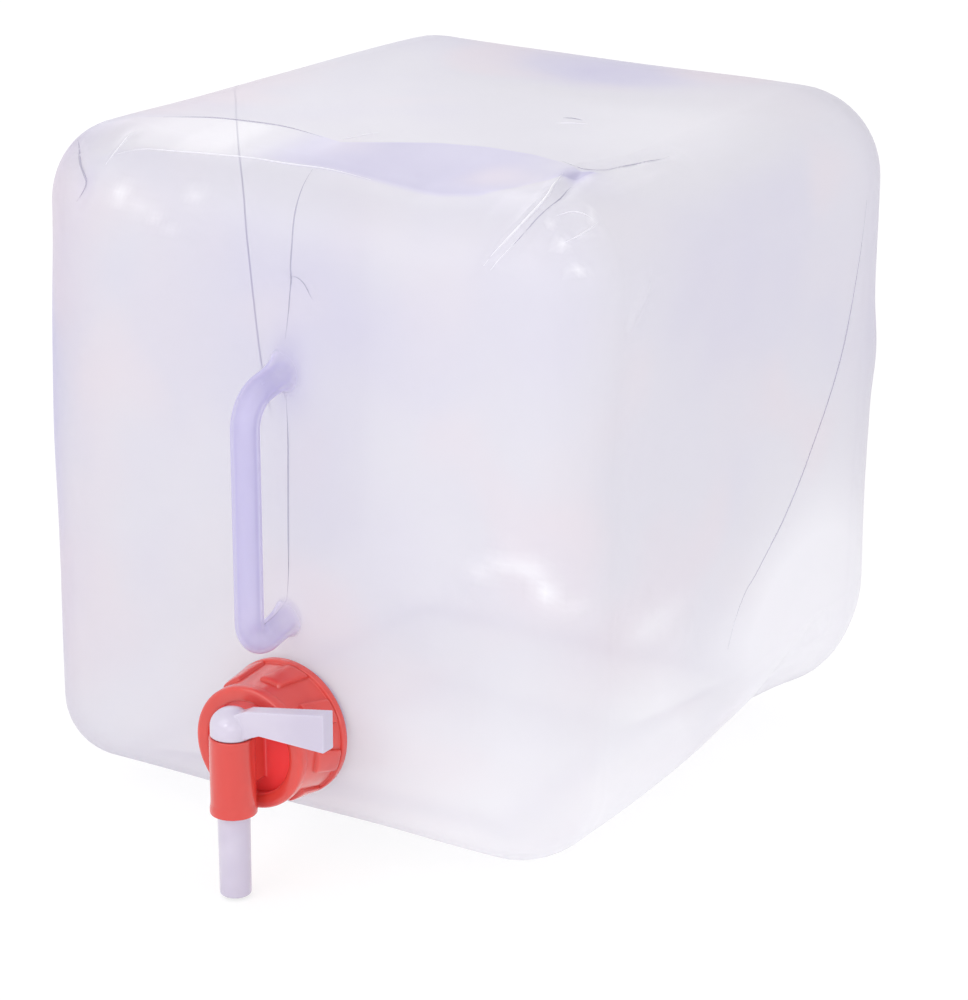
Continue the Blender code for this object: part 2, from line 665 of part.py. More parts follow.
def make_key(key_axis):
    """The key, closed in the photograph with its lever to the right and its port away from the
    inlet. A quarter turn towards the front opens it."""
    upward = (0, 0, 1)
    spout_radius = SPOUT_BORE_RADIUS + SPOUT_WALL
    tip_radius = SPOUT_BORE_RADIUS + SPOUT_TIP_WALL
    plug_foot = barrel_foot + PLUG_ABOVE_FOOT
    # The snap bead turns in the barrel's groove
    bead_radius = barrel_bore_radius + GROOVE_DEPTH - SEAT_GAP
    bead_middle = barrel_foot + GROOVE_ABOVE_FOOT + GROOVE_LENGTH / 2
    dome = []
    for step in range(HUB_DOME_STEPS + 1):
        angle = math.pi / 2 * step / (HUB_DOME_STEPS + 1)
        height = hub_base + HUB_HEIGHT + HUB_DOME_HEIGHT * math.sin(angle)
        dome.append((hub_radius * math.cos(angle), height))
    profile = [
        (tip_radius - SPOUT_TIP_ROUND, SPOUT_TIP_HEIGHT),
        (tip_radius, SPOUT_TIP_HEIGHT + SPOUT_TIP_ROUND),
        (spout_radius, barrel_foot),
        (spout_radius, plug_foot),
        (plug_radius, plug_foot + SEAT_GAP),
        (plug_radius, bead_middle - SNAP_BEAD_LENGTH / 2),
        (bead_radius, bead_middle),
        (plug_radius, bead_middle + SNAP_BEAD_LENGTH / 2),
        (plug_radius, hub_base),
        (hub_radius, hub_base),
        *dome,
    ]
    body = turned(profile, KEY_SIDES, (0, barrel_depth, 0), upward, closed=False)
    made = add_object("tap_key", body, NATURAL_LOOK)
    boolean(made, add_object("lever_shape", lever_shape()), "UNION")
    bore_start = SPOUT_TIP_HEIGHT - OVERRUN
    bore_length = inlet_height + INLET_BORE_RADIUS - bore_start
    bore = rod(SPOUT_BORE_RADIUS, bore_length, KEY_SIDES, (0, barrel_depth, bore_start), upward)
    boolean(made, add_object("spout_bore_cutter", bore))
    port_way = Matrix.Rotation(KEY_PORT_ANGLE, 3, "Z") @ Vector((0, 1, 0))
    port_place = (0, barrel_depth, inlet_height)
    port = rod(INLET_BORE_RADIUS, plug_radius + OVERRUN, INLET_SIDES, port_place, port_way)
    boolean(made, add_object("port_cutter", port))
    edges = made.modifiers.new("Soft edges", "BEVEL")
    edges.width = LEVER_ROUND
    edges.segments = 1
    edges.limit_method = "ANGLE"
    edges.angle_limit = BEVEL_ANGLE
    carry(key_axis, made)
    shade(made)


def main():
    clear_scene()
    make_bag()
    bag_tool = make_bag_tool()
    make_neck(bag_tool)
    make_handle(bag_tool)
    tap_axis = axis("tap_draw_axis", Vector((0, flange_back, NECK_HEIGHT)))
    collar_axis = axis("collar_unscrew_axis", Vector((0, collar_back, NECK_HEIGHT)))
    key_axis = axis("key_turn_axis", Vector((0, barrel_depth, hub_base)))
    make_gasket(tap_axis)
    make_tap_body(tap_axis)
    make_collar(collar_axis)
    make_key(key_axis)


main()
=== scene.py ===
# %% [markdown]
# # A collapsible water carrier
# The carrier is a thin blow-moulded cube of soft, clouded film. A hollow handle stands on its front
# wall, and below it a threaded neck takes a red screw collar with a red tap and a milky key. This
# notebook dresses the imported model: it keeps the sizes, the places and the joints of the frame, and
# makes the fine surfaces, the plastics, the light and the view.

# %% Load the frame
import math

import bmesh
import bpy
import numpy as np
from mathutils import Matrix, Vector, noise
from mathutils.bvhtree import BVHTree


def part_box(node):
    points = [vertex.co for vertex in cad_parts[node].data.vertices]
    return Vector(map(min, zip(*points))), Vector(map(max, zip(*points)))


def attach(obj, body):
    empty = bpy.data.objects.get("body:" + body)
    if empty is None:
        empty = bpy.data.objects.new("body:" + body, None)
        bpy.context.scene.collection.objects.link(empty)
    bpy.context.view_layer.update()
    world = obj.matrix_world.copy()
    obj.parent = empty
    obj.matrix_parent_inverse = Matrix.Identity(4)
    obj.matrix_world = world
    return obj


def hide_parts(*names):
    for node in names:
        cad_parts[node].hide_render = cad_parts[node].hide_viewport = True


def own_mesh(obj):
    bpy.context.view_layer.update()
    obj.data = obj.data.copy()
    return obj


MM = 0.001

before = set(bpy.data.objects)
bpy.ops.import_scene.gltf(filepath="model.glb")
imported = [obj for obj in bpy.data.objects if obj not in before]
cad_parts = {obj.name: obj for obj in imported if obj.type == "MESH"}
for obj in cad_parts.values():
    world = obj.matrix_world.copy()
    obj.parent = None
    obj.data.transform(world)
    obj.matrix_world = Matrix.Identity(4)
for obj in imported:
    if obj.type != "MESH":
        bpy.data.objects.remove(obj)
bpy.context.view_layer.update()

# %% [markdown]
# ## The camera
# The view is the photograph's: from the front and the right, about 20 degrees above the table, with
# a long lens, so that the cube's edges hardly converge. The focal length is written in pixels of
# the 1000 pixel high image, which is how it was measured, and turned into a lens for the sensor.

# %% Camera
IMAGE_HEIGHT = 1000
FOCAL_PIXELS = 3659.6
VIEW_AZIMUTH = math.radians(32.52)
VIEW_ELEVATION = math.radians(19.92)
VIEW_DISTANCE = 1.5585
VIEW_CENTRE = Vector((0, 0, 0.1516))
FRAMING_RIGHT = 0.0025
FRAMING_DOWN = 0.0362


def place_object(name, data):
    """A new object in the scene."""
    made = bpy.data.objects.new(name, data)
    bpy.context.scene.collection.objects.link(made)
    return made


def add_camera():
    """A camera at the photograph's place, which looks square along its own axis."""
    right = Vector((math.cos(VIEW_AZIMUTH), math.sin(VIEW_AZIMUTH), 0))
    level = Vector((math.sin(VIEW_AZIMUTH), -math.cos(VIEW_AZIMUTH), 0))
    back = level * math.cos(VIEW_ELEVATION) + Vector((0, 0, math.sin(VIEW_ELEVATION)))
    up = back.cross(right)
    data = bpy.data.cameras.new("photo_camera")
    data.lens = FOCAL_PIXELS * data.sensor_width / IMAGE_HEIGHT
    camera = place_object("photo_camera", data)
    turn = Matrix((right, up, back)).transposed().to_4x4()
    place = VIEW_CENTRE + back * VIEW_DISTANCE + right * FRAMING_RIGHT - up * FRAMING_DOWN
    camera.matrix_world = Matrix.Translation(place) @ turn
    bpy.context.scene.camera = camera
    return camera


camera = add_camera()
print("camera at", [round(part, 3) for part in camera.location], "lens", round(camera.data.lens, 1))

# %% [markdown]
# ## Light and floor
# The picture was taken in a white tent: even light from all round, a little more from above and
# from the left, and no hard shadow. A pale world does most of it. Four large soft lamps shape the
# walls, and a small one near the camera puts fine lights on the tap. The world and the floor look
# plain white to the camera and in reflections, while what they add to the light stays at a level
# that leaves the colours as written. A few small helpers come first, which keep the node trees short.

# %% Node helpers


def feed(tree, node, values):
    """Fill a node's sockets: a number or a colour is put on a socket, an output is linked to it."""
    for name, value in values.items():
        socket = node.inputs[name]
        if isinstance(value, bpy.types.NodeSocket):
            tree.links.new(value, socket)
        elif isinstance(value, tuple):
            socket.default_value = (*value, 1)[: len(socket.default_value)]
        else:
            socket.default_value = value


def add_node(tree, kind, values=None, **settings):
    """A node with its settings made and its sockets filled. Returns its outputs."""
    node = tree.nodes.new(kind)
    for setting, value in settings.items():
        setattr(node, setting, value)
    feed(tree, node, values or {})
    return node.outputs


def add_math(tree, operation, first, second):
    return add_node(tree, "ShaderNodeMath", {0: first, 1: second}, operation=operation)["Value"]


def add_range(tree, value, from_low, from_high, to_low=0, to_high=1):
    """Map a value from one range to another, smoothly at both ends."""
    values = {"Value": value, "From Min": from_low, "From Max": from_high}
    values |= {"To Min": to_low, "To Max": to_high}
    return add_node(tree, "ShaderNodeMapRange", values, interpolation_type="SMOOTHSTEP")["Result"]


def add_mix(tree, factor, first, second):
    """Mix two colours. Each is a colour or another node's output."""
    values = {"Factor": factor, "A": first, "B": second}
    return add_node(tree, "ShaderNodeMix", values, data_type="RGBA")["Result"]


def seen_directly(tree):
    """1 for rays from the camera, from a mirror or through glass, and 0 for rays that only light."""
    path = add_node(tree, "ShaderNodeLightPath")
    either = add_math(tree, "MAXIMUM", path["Is Camera Ray"], path["Is Glossy Ray"])
    return add_math(tree, "MAXIMUM", either, path["Is Transmission Ray"])


def new_material(name):
    made = bpy.data.materials.new(name)
    made.use_nodes = True
    return made, made.node_tree, made.node_tree.nodes["Principled BSDF"]


def new_group(name, kind, inputs, outputs):
    """An empty node group. Its sockets are given as names and one word for their type. Returns the
    group and the outputs of its entry node."""
    group = bpy.data.node_groups.new(name, kind)
    for side, sockets in (("INPUT", inputs), ("OUTPUT", outputs)):
        for socket, sort in sockets.items():
            group.interface.new_socket(socket, in_out=side, socket_type="NodeSocket" + sort)
    return group, add_node(group, "NodeGroupInput")


print("node helpers ready")

# %% World and lamps
WORLD_LIGHT = 0.76
# Each lamp's place and aim, its side in metres and its power in watts
LAMPS = {
    "key_soft_box": ((-1.3, 1.1, 1.3), (0, 0, 0.2), 0.9, 5),
    "front_soft_box": ((-0.6, -1.7, 1.5), (0, 0, 0.1), 1.6, 10),
    "low_soft_box": ((1.0, -1.9, 0.25), (0, 0, 0.1), 1.4, 7.2),
    "right_soft_box": ((2.0, -0.2, 0.15), (0, 0, 0.05), 1.2, 6),
    "small_front_lamp": ((0.11, -1.61, 0.89), (0, -0.15, 0.08), 0.14, 1.5),
}


def set_world():
    world = bpy.data.worlds.new("white_tent")
    world.use_nodes = True
    tree = world.node_tree
    strength = add_range(tree, seen_directly(tree), 0, 1, WORLD_LIGHT, 1)
    feed(tree, tree.nodes["Background"], {"Color": (1, 1, 1), "Strength": strength})
    bpy.context.scene.world = world


def add_lamp(name, place, aim, size, power):
    """A square soft box at place that faces aim."""
    data = bpy.data.lights.new(name, "AREA")
    data.size = size
    data.energy = power
    lamp = place_object(name, data)
    lamp.location = place
    lamp.rotation_euler = (Vector(aim) - Vector(place)).to_track_quat("-Z", "Y").to_euler()


bpy.context.scene.view_settings.view_transform = "Standard"
set_world()
for lamp_name, lamp_values in LAMPS.items():
    add_lamp(lamp_name, *lamp_values)
print("world light", WORLD_LIGHT, "lamps", list(LAMPS))

# %% Floor
FLOOR_SIZE = 16
FLOOR_DROP = 0.4 * MM
FLOOR_TONE = 0.95
FLOOR_SEEN_TONE = 0.3
FLOOR_SEEN_GLOW = 0.75


def add_floor():
    """A white table top. To the eye it is mostly glow, which keeps the carrier's shadow faint."""
    mesh = bpy.data.meshes.new("floor")
    reach = FLOOR_SIZE / 2
    corners = [(-reach, -reach, -FLOOR_DROP), (reach, -reach, -FLOOR_DROP)]
    corners += [(reach, reach, -FLOOR_DROP), (-reach, reach, -FLOOR_DROP)]
    mesh.from_pydata(corners, [], [(0, 1, 2, 3)])
    floor = place_object("floor", mesh)
    paper, tree, shader = new_material("white_paper")
    seen = seen_directly(tree)
    values = {
        "Base Color": add_mix(tree, seen, (FLOOR_TONE,) * 3, (FLOOR_SEEN_TONE,) * 3),
        "Roughness": 0.9,
        "Specular IOR Level": 0,
        "Emission Color": (1, 1, 1),
        "Emission Strength": add_math(tree, "MULTIPLY", seen, FLOOR_SEEN_GLOW),
    }
    feed(tree, shader, values)
    mesh.materials.append(paper)
    return floor


floor = add_floor()
print("floor at", floor.data.vertices[0].co.z)

# %% [markdown]
# ## Plastics
# All the pieces are polyethylene, straight from the mould. What tells them apart is colour and how
# much light they let through, so one shader group gives every one of them the same faint grain: a
# fine skin texture for the bump, a slow cloud for the colour, and a roughness that wanders a little.
# A group like this is built once and gets its own values in each material. The Principled shader,
# and the Layer Weight that thickens the film towards its outline, stay in the material itself.

# %% Moulded grain group
SCUFF_SCALE = 120
CLOUD_RANGE = (0.35, 0.65)
GRAIN_INPUTS = ("Cloud scale", "Grain scale", "Roughness", "Roughness spread")


def add_noise(tree, place, scale, detail, roughness=0.5):
    """A noise texture on the object's own coordinates."""
    values = {"Vector": place, "Scale": scale, "Detail": detail, "Roughness": roughness}
    return add_node(tree, "ShaderNodeTexNoise", values)["Fac"]


def build_grain_group():
    """Cloud, grain height and roughness of moulded polyethylene, from the object's coordinates."""
    inputs = dict.fromkeys(GRAIN_INPUTS, "Float")
    outputs = dict.fromkeys(("Cloud", "Grain", "Roughness"), "Float")
    group, entry = new_group("moulded_grain", "ShaderNodeTree", inputs, outputs)
    place = add_node(group, "ShaderNodeTexCoord")["Object"]
    cloud = add_noise(group, place, entry["Cloud scale"], 2)
    scuff = add_math(group, "SUBTRACT", add_noise(group, place, SCUFF_SCALE, 4, 0.7), 0.5)
    spread = add_math(group, "MULTIPLY", scuff, entry["Roughness spread"])
    results = {
        "Cloud": add_range(group, cloud, *CLOUD_RANGE),
        "Grain": add_noise(group, place, entry["Grain scale"], 3, 0.6),
        "Roughness": add_math(group, "ADD", spread, entry["Roughness"]),
    }
    add_node(group, "NodeGroupOutput", results)
    return group


grain_group = build_grain_group()
print("group", grain_group.name, [item.name for item in grain_group.interface.items_tree])

# %% [markdown]
# The opaque plastics share one function. Two near colours mixed by the cloud keep a large face from
# looking painted, and a low bump of the grain breaks up the highlights. A little light scatters
# inside the red and the milky parts, which softens their shading as real polyethylene does. A thin
# smooth coat over the rough skin keeps the small lights crisp, as the pressed skin of a moulding does.

# %% Plastic materials
PLASTIC_IOR = 1.5
GRAIN_DEPTH = 0.1 * MM
SCATTER_DEPTH = 3 * MM
COAT_ROUGHNESS = 0.1


def use_grain(tree, numbers):
    """The grain group in a material, with the material's own numbers in the order of its inputs."""
    return add_node(tree, "ShaderNodeGroup", dict(zip(GRAIN_INPUTS, numbers)), node_tree=grain_group)


def add_bump(tree, height, strength):
    values = {"Strength": strength, "Distance": GRAIN_DEPTH, "Height": height}
    return add_node(tree, "ShaderNodeBump", values)["Normal"]


def add_attribute(tree, name):
    """A number painted on the points of the mesh, 0 where it isn't painted."""
    return add_node(tree, "ShaderNodeAttribute", attribute_name=name)["Fac"]


def plastic(name, dark, pale, grain_numbers, bump=0.12, bright=None, scatter=0, reach=(1, 1, 1), coat=0):
    """A moulded plastic between two colours. Where the vertex attribute recess_painted_light is set it
    turns to the bright colour instead, which is painted light. scatter is the share of light that goes
    inside, reach how far each of its colours gets, and coat the weight of the smooth outermost skin."""
    made, tree, shader = new_material(name)
    grain = use_grain(tree, grain_numbers)
    colour = add_mix(tree, grain["Cloud"], dark, pale)
    if bright:
        colour = add_mix(tree, add_attribute(tree, "recess_painted_light"), colour, bright)
    values = {
        "Base Color": colour,
        "Roughness": grain["Roughness"],
        "Normal": add_bump(tree, grain["Grain"], bump),
        "IOR": PLASTIC_IOR,
        "Subsurface Weight": scatter,
        "Subsurface Radius": reach,
        "Subsurface Scale": SCATTER_DEPTH,
        "Coat Weight": coat,
        "Coat Roughness": COAT_ROUGHNESS,
    }
    feed(tree, shader, values)
    return made


# Two colours, and the numbers for the grain group in the order of its inputs
RED = ((0.7, 0.057, 0.045), (0.76, 0.069, 0.054), (45, 1400, 0.25, 0.1))
MILKY = ((0.6, 0.55, 0.68), (0.66, 0.61, 0.73), (40, 1200, 0.34, 0.12))
FOAM = ((0.62, 0.61, 0.58), (0.75, 0.74, 0.71), (80, 2600, 0.75, 0.1))
# Painted light: a brighter red in the recess and on the collar's lip, for the light through the thin
# flange into the shaded recess
painted_glow_red = (1, 0.08, 0.085)
red_reach = (1, 0.22, 0.16)
red_plastic = plastic("red_polyethylene", *RED, bright=painted_glow_red, scatter=0.3, reach=red_reach, coat=0.5)
milky_plastic = plastic("milky_polyethylene", *MILKY, scatter=0.25, reach=(0.9, 0.85, 1), coat=0.5)
gasket_foam = plastic("pale_gasket_foam", *FOAM, bump=0.6)
print("plastics:", red_plastic.name, milky_plastic.name, gasket_foam.name)

# %% [markdown]
# The film is the main finish. It is clear enough to show the far walls' creases, and clouded enough to
# have a colour of its own. Alpha gives that without refraction, which a wall under a millimetre thick
# hardly has. Looked at along its surface the film is deeper, so Layer Weight raises alpha towards the
# outline. Vertex attributes, painted by the script, say where the film is more lilac and where painted
# shade, painted highlights and painted light lie on it, and a slow noise adds the faint pink patches.

# %% Film material
FILM_WHITE = (0.96, 0.95, 1)
FILM_PAINTED_SHADE = (0.42, 0.39, 0.62)
SHADOW_SHARE = 0.16
FILM_CLOUD_SCALE = 9
FILM_GRAIN_SCALE = 700
FILM_ROUGHNESS_SPREAD = 0.12
FILM_BUMP = 0.05
CLOUD_SHARE = 0.3
PATCH_SCALE = 14
PATCH_SHARE = 0.75
PATCH_RANGE = (0.5, 0.72)
PAINTED_SHADE_RANGE = (0.8, 1.5)
PALE_AND_PAINTED_LIGHT_RANGE = (-1, 0.1)
PALE_AND_PAINTED_LIGHT_SHARE = 0.85
FACING_START = 0.25
LILAC_AND_SHADE_ALPHA = 0.12
PALE_AND_HIGHLIGHT_ALPHA = 0.3
# Over how many millimetres the band's painted shade and highlight on the top wall starts, at its front
# and at its crease
FRONT_EDGE = (-2, 3)
CREASE_EDGE = (0, 1.2)


def film(name, alpha_low, alpha_high, roughness, lilac, pale, pink):
    """Clouded see-through film. alpha runs from face on to edge on. Its vertex attributes are lilac,
    which carries the lilac tint with painted shade and painted light, pale_and_painted_highlight, which
    is paleness and painted highlights in white, band_front, band_crease and band_shade_and_highlight for
    the painted shade and painted highlight of the facet on the top wall, and fade, which takes the film
    away where a piece runs into the wall."""
    made, tree, shader = new_material(name)
    grain_numbers = (FILM_CLOUD_SCALE, FILM_GRAIN_SCALE, roughness, FILM_ROUGHNESS_SPREAD)
    grain = use_grain(tree, grain_numbers)
    # The band's edges stay crisp between the points of the grid, because they are cut here
    behind_front = add_range(tree, add_attribute(tree, "band_front"), *FRONT_EDGE)
    ahead_of_crease = add_range(tree, add_attribute(tree, "band_crease"), *CREASE_EDGE)
    band = add_math(tree, "MULTIPLY", behind_front, ahead_of_crease)
    # The band's painted shade and painted highlight
    band_shade_and_highlight = add_math(tree, "MULTIPLY", band, add_attribute(tree, "band_shade_and_highlight"))
    cloud = add_math(tree, "SUBTRACT", grain["Cloud"], 0.5)
    # depth is the lilac tint together with the painted shade and light of the spots and of the band
    depth = add_math(tree, "ADD", add_attribute(tree, "lilac"), band_shade_and_highlight)
    amount = add_math(tree, "ADD", depth, add_math(tree, "MULTIPLY", cloud, CLOUD_SHARE))
    # Pale, lilac and deep by that amount, the deep end mostly painted shade, then pink in patches, and
    # white where paleness, painted highlights and painted light are set
    base = add_mix(tree, add_range(tree, amount, 0, 1), pale, lilac)
    base = add_mix(tree, add_range(tree, amount, *PAINTED_SHADE_RANGE), base, FILM_PAINTED_SHADE)
    place = add_node(tree, "ShaderNodeTexCoord")["Object"]
    patches = add_range(tree, add_noise(tree, place, PATCH_SCALE, 1), *PATCH_RANGE, 0, PATCH_SHARE)
    pale_and_painted_highlight = add_attribute(tree, "pale_and_painted_highlight")
    # milky is paleness, painted highlights and the painted light of the pale spots, which turn the film
    # white
    milky = add_math(tree, "ADD", pale_and_painted_highlight, add_range(tree, amount, *PALE_AND_PAINTED_LIGHT_RANGE, PALE_AND_PAINTED_LIGHT_SHARE, 0))
    milky = add_math(tree, "MINIMUM", milky, 1)
    # Inside the bag the film looks duller, so that no lamp is mirrored in the far walls
    inside = add_node(tree, "ShaderNodeNewGeometry")["Backfacing"]
    facing = add_node(tree, "ShaderNodeLayerWeight", {"Blend": 0.5})["Facing"]
    alpha = add_range(tree, facing, FACING_START, 1, alpha_low, alpha_high)
    alpha = add_math(tree, "ADD", alpha, add_math(tree, "MULTIPLY", depth, LILAC_AND_SHADE_ALPHA))
    alpha = add_math(tree, "ADD", alpha, add_math(tree, "MULTIPLY", pale_and_painted_highlight, PALE_AND_HIGHLIGHT_ALPHA))
    # Light passes the film more easily than sight does, so its shadow is thin
    shadow = add_node(tree, "ShaderNodeLightPath")["Is Shadow Ray"]
    alpha = add_math(tree, "MULTIPLY", alpha, add_range(tree, shadow, 0, 1, 1, SHADOW_SHARE))
    unfaded = add_math(tree, "SUBTRACT", 1, add_attribute(tree, "fade"))
    values = {
        "Base Color": add_mix(tree, milky, add_mix(tree, patches, base, pink), FILM_WHITE),
        "Roughness": add_math(tree, "MAXIMUM", grain["Roughness"], inside),
        "Normal": add_bump(tree, grain["Grain"], FILM_BUMP),
        "Alpha": add_math(tree, "MINIMUM", add_math(tree, "MULTIPLY", alpha, unfaded), 1),
        "IOR": PLASTIC_IOR,
    }
    feed(tree, shader, values)
    return made


# Alpha face on and edge on, the roughness, and the lilac, the pale and the pink colour
FILMS = {
    "clouded_film": (0.46, 0.8, 0.38, (0.58, 0.55, 0.75), (0.72, 0.7, 0.775), (0.76, 0.67, 0.74)),
    "lilac_grip": (0.25, 0.85, 0.3, (0.6, 0.56, 0.82), (0.7, 0.66, 0.85), (0.66, 0.6, 0.82)),
    # the film of the seams and of the painted shade lines
    "seam_and_shade_line_film": (0.4, 0.55, 0.4, (0.4, 0.39, 0.53), (0.42, 0.41, 0.53), (0.43, 0.39, 0.5)),
    "fold_line_film": (0.85, 1, 0.5, *[(0.3, 0.29, 0.42)] * 3),
    # the white film of the painted highlight lines
    "painted_highlight_film": (0.7, 0.95, 0.3, *[FILM_WHITE] * 3),
}
films = [film(film_name, *values) for film_name, values in FILMS.items()]
bag_film, grip_film, line_film, fold_film, highlight_line_film = films
print("films:", list(FILMS))

# %% [markdown]
# ## The bag
# The bag is a cube with round edges, and as it stands half slack, no corner is quite like the next.
# Its form is worked out as in the solid model: a round-edged cube is cut into a fine grid, each
# point of which knows its place on the inner flat cube and its way out from there. Eight corner
# balls, each with a radius and a lean of its own, are mixed for every point. After that come the
# slack film's folds and dents, pushed in along the surface.

# %% Bag sizes
BAG_WIDTH = 262 * MM
BAG_DEPTH = 270 * MM
BAG_HEIGHT = 288 * MM
BAG_EDGE_RADIUS = 36 * MM
BAG_CROWN = 2 * MM
BAG_HEEL_SHARE = 0.45
EDGE_STEPS = 14
PANEL_CUTS = 91
GATHER_SHARE = 0.75
PANEL_ANGLE = math.radians(1)
# Radius, and lean in X, in Y and upwards, as shares of the edge radius
bag_corner_shares = {
    (-1, -1, -1): (0.8, -0.1, -0.07, 0.3),
    (1, -1, -1): (1.1, -0.18, -0.13, 0.25),
    (-1, 1, -1): (1, 0, 0, 0.28),
    (1, 1, -1): (1.45, 0.08, 0.17, 0.47),
    (-1, -1, 1): (0.93, -0.11, -0.1, 0.02),
    (1, -1, 1): (0.94, 0, 0, 0),
    (-1, 1, 1): (1.1, 0.18, 0.11, -0.04),
    (1, 1, 1): (1.06, 0.06, 0.02, -0.02),
}
half = np.array((BAG_WIDTH, BAG_DEPTH, BAG_HEIGHT)) / 2
flat = half - BAG_EDGE_RADIUS


def plain_mesh(bm, name):
    """Turn a finished bmesh into a mesh whose faces look outwards."""
    bmesh.ops.recalc_face_normals(bm, faces=bm.faces)
    mesh = bpy.data.meshes.new(name)
    bm.to_mesh(mesh)
    bm.free()
    return mesh


def round_cube():
    """A fine grid on a cube with round edges, before it leans."""
    bm = bmesh.new()
    bmesh.ops.create_cube(bm, size=1)
    bmesh.ops.scale(bm, vec=half * 2, verts=bm.verts)
    edge_round = {"offset": BAG_EDGE_RADIUS, "segments": EDGE_STEPS, "profile": 0.5}
    bmesh.ops.bevel(bm, geom=bm.edges[:], offset_type="OFFSET", affect="EDGES", **edge_round)
    long_edges = [edge for edge in bm.edges if edge.calc_length() > BAG_EDGE_RADIUS]
    bmesh.ops.subdivide_edges(bm, edges=long_edges, cuts=PANEL_CUTS, use_grid_fill=True)
    # The cut leaves a few faces in an order that differs from run to run, so they are sorted.
    bm.verts.index_update()
    bm.faces.sort(key=lambda face: face.verts[0].index * len(bm.verts) + face.verts[2].index)
    return plain_mesh(bm, "bag_skin")


def lean(points):
    """Move each point of the round cube to its place on the slack bag. The grid's lines are gathered
    towards the edges first, where the folds are."""
    core = np.clip(points, -flat, flat)
    outward = (points - core) / BAG_EDGE_RADIUS
    quarter = math.pi / 2 * GATHER_SHARE
    way = np.sin(core / flat * quarter) / math.sin(quarter)
    centres = np.zeros_like(points)
    radii = np.zeros(len(points))
    for sides, (radius_share, *lean_shares) in bag_corner_shares.items():
        radius = BAG_EDGE_RADIUS * radius_share
        ball = np.array(sides) * (half - radius) + BAG_EDGE_RADIUS * np.array(lean_shares)
        weight = np.prod((1 + np.array(sides) * way) / 2, axis=1)
        centres += weight[:, None] * ball
        radii += weight * radius
    placed = centres + outward * radii[:, None]
    for facing in range(3):
        beside = [side for side in range(3) if side != facing]
        on_panel = np.abs(outward[:, facing]) > math.cos(PANEL_ANGLE)
        if facing == 2:
            base = on_panel & (outward[:, 2] < 0)
            inward = np.minimum(1, (1 - np.abs(way[:, beside]).max(axis=1)) / BAG_HEEL_SHARE)
            rise = np.sin(inward * math.pi / 2) ** 2
            placed[base, 2] += (rise * (-half[2] - placed[:, 2]))[base]
            on_panel &= ~base
        swell = np.prod(np.cos(way[:, beside] * math.pi / 2) ** 2, axis=1)
        placed[on_panel, facing] += (np.sign(outward[:, facing]) * BAG_CROWN * swell)[on_panel]
    placed[:, 2] += half[2]
    return placed


def read_points(mesh):
    points = np.zeros(len(mesh.vertices) * 3)
    mesh.vertices.foreach_get("co", points)
    return points.reshape(-1, 3)


def write_points(mesh, points):
    mesh.vertices.foreach_set("co", points.astype(np.float32).ravel())
    mesh.update()


bag_mesh = round_cube()
write_points(bag_mesh, lean(read_points(bag_mesh)))
print("bag skin:", len(bag_mesh.vertices), "points,", len(bag_mesh.polygons), "faces")

# %% [markdown]
# ### Folds and dents
# Slack film keeps the marks of its last folding. A fold is a line of points on the skin with a
# width and a depth, and its profile is a narrow groove that runs out at both ends. A dent is a ball
# shaped hollow. Both work on the distance from a point of the grid to the line or to the middle, so
# they need no change to the grid. The front of the top wall is different: ahead of one long crease
# it tips down towards the front edge, which is the lilac band in the picture.

# %% Fold and dent tools
RUN_OUT = 0.25


def across(line, x):
    """The second value of a row of pairs at each X, in millimetres."""
    line = np.array(line)
    return np.interp(x, line[:, 0], line[:, 1])


def line_distance(points, line):
    """How far each point is from a line of points, and how far along the line its foot is, 0 to 1."""
    line = np.array(line) * MM
    lengths = np.linalg.norm(np.diff(line, axis=0), axis=1)
    starts = np.concatenate(([0], np.cumsum(lengths)))
    nearest = np.full(len(points), np.inf)
    along = np.zeros(len(points))
    for number, length in enumerate(lengths):
        run = (line[number + 1] - line[number]) / length
        reach = np.clip((points - line[number]) @ run, 0, length)
        gap = np.linalg.norm(points - line[number] - reach[:, None] * run, axis=1)
        closer = gap < nearest
        nearest[closer] = gap[closer]
        along[closer] = (starts[number] + reach[closer]) / starts[-1]
    return nearest, along


def fold(points, line, width, depth):
    """A groove along a line, depth deep, or a ridge where depth is negative."""
    distance, along = line_distance(points, line)
    ends = np.clip(np.minimum(along, 1 - along) / RUN_OUT, 0, 1)
    return depth * MM * np.exp(-((distance / (width * MM)) ** 2)) * np.sqrt(ends)


def soft_spots(points, rows):
    """A sum of soft spots at each point. A row is a spot's middle, its radii and its strength."""
    amount = np.zeros(len(points))
    for centre, radii, strength in rows:
        away = (points / MM - centre) / radii
        amount += strength * np.exp(-np.sum(away**2, axis=1))
    return amount


# The crease across the top wall, as X and Y in millimetres, and how far the film ahead of it drops
TOP_CREASE = ((-100, -99), (-85, -87), (-70, -79), (-45, -77), (-24, -80), (-10, -85), (10, -73))
TOP_CREASE += ((24, -66), (45, -61), (66, -61), (80, -64), (90, -68), (100, -70))
TOP_CREASE_DROP = ((-110, 0), (-96, 1.5), (-70, 3), (-30, 2.2), (0, 4.5))
TOP_CREASE_DROP += ((45, 6), (80, 4.5), (97, 2), (112, 0))
TOP_STRIP_END = -112
DROP_FADE = 70


def tip_top_front(points):
    """How far each point of the top wall goes down ahead of its crease, in millimetres."""
    x, y, z = points.T / MM
    crease_y = across(TOP_CREASE, x)
    ahead = np.clip((crease_y - y) / (crease_y - TOP_STRIP_END), 0, 1)
    below_top = np.clip((BAG_HEIGHT / MM - z) / DROP_FADE, 0, 1)
    return across(TOP_CREASE_DROP, x) * ahead * (1 - below_top) ** 1.5


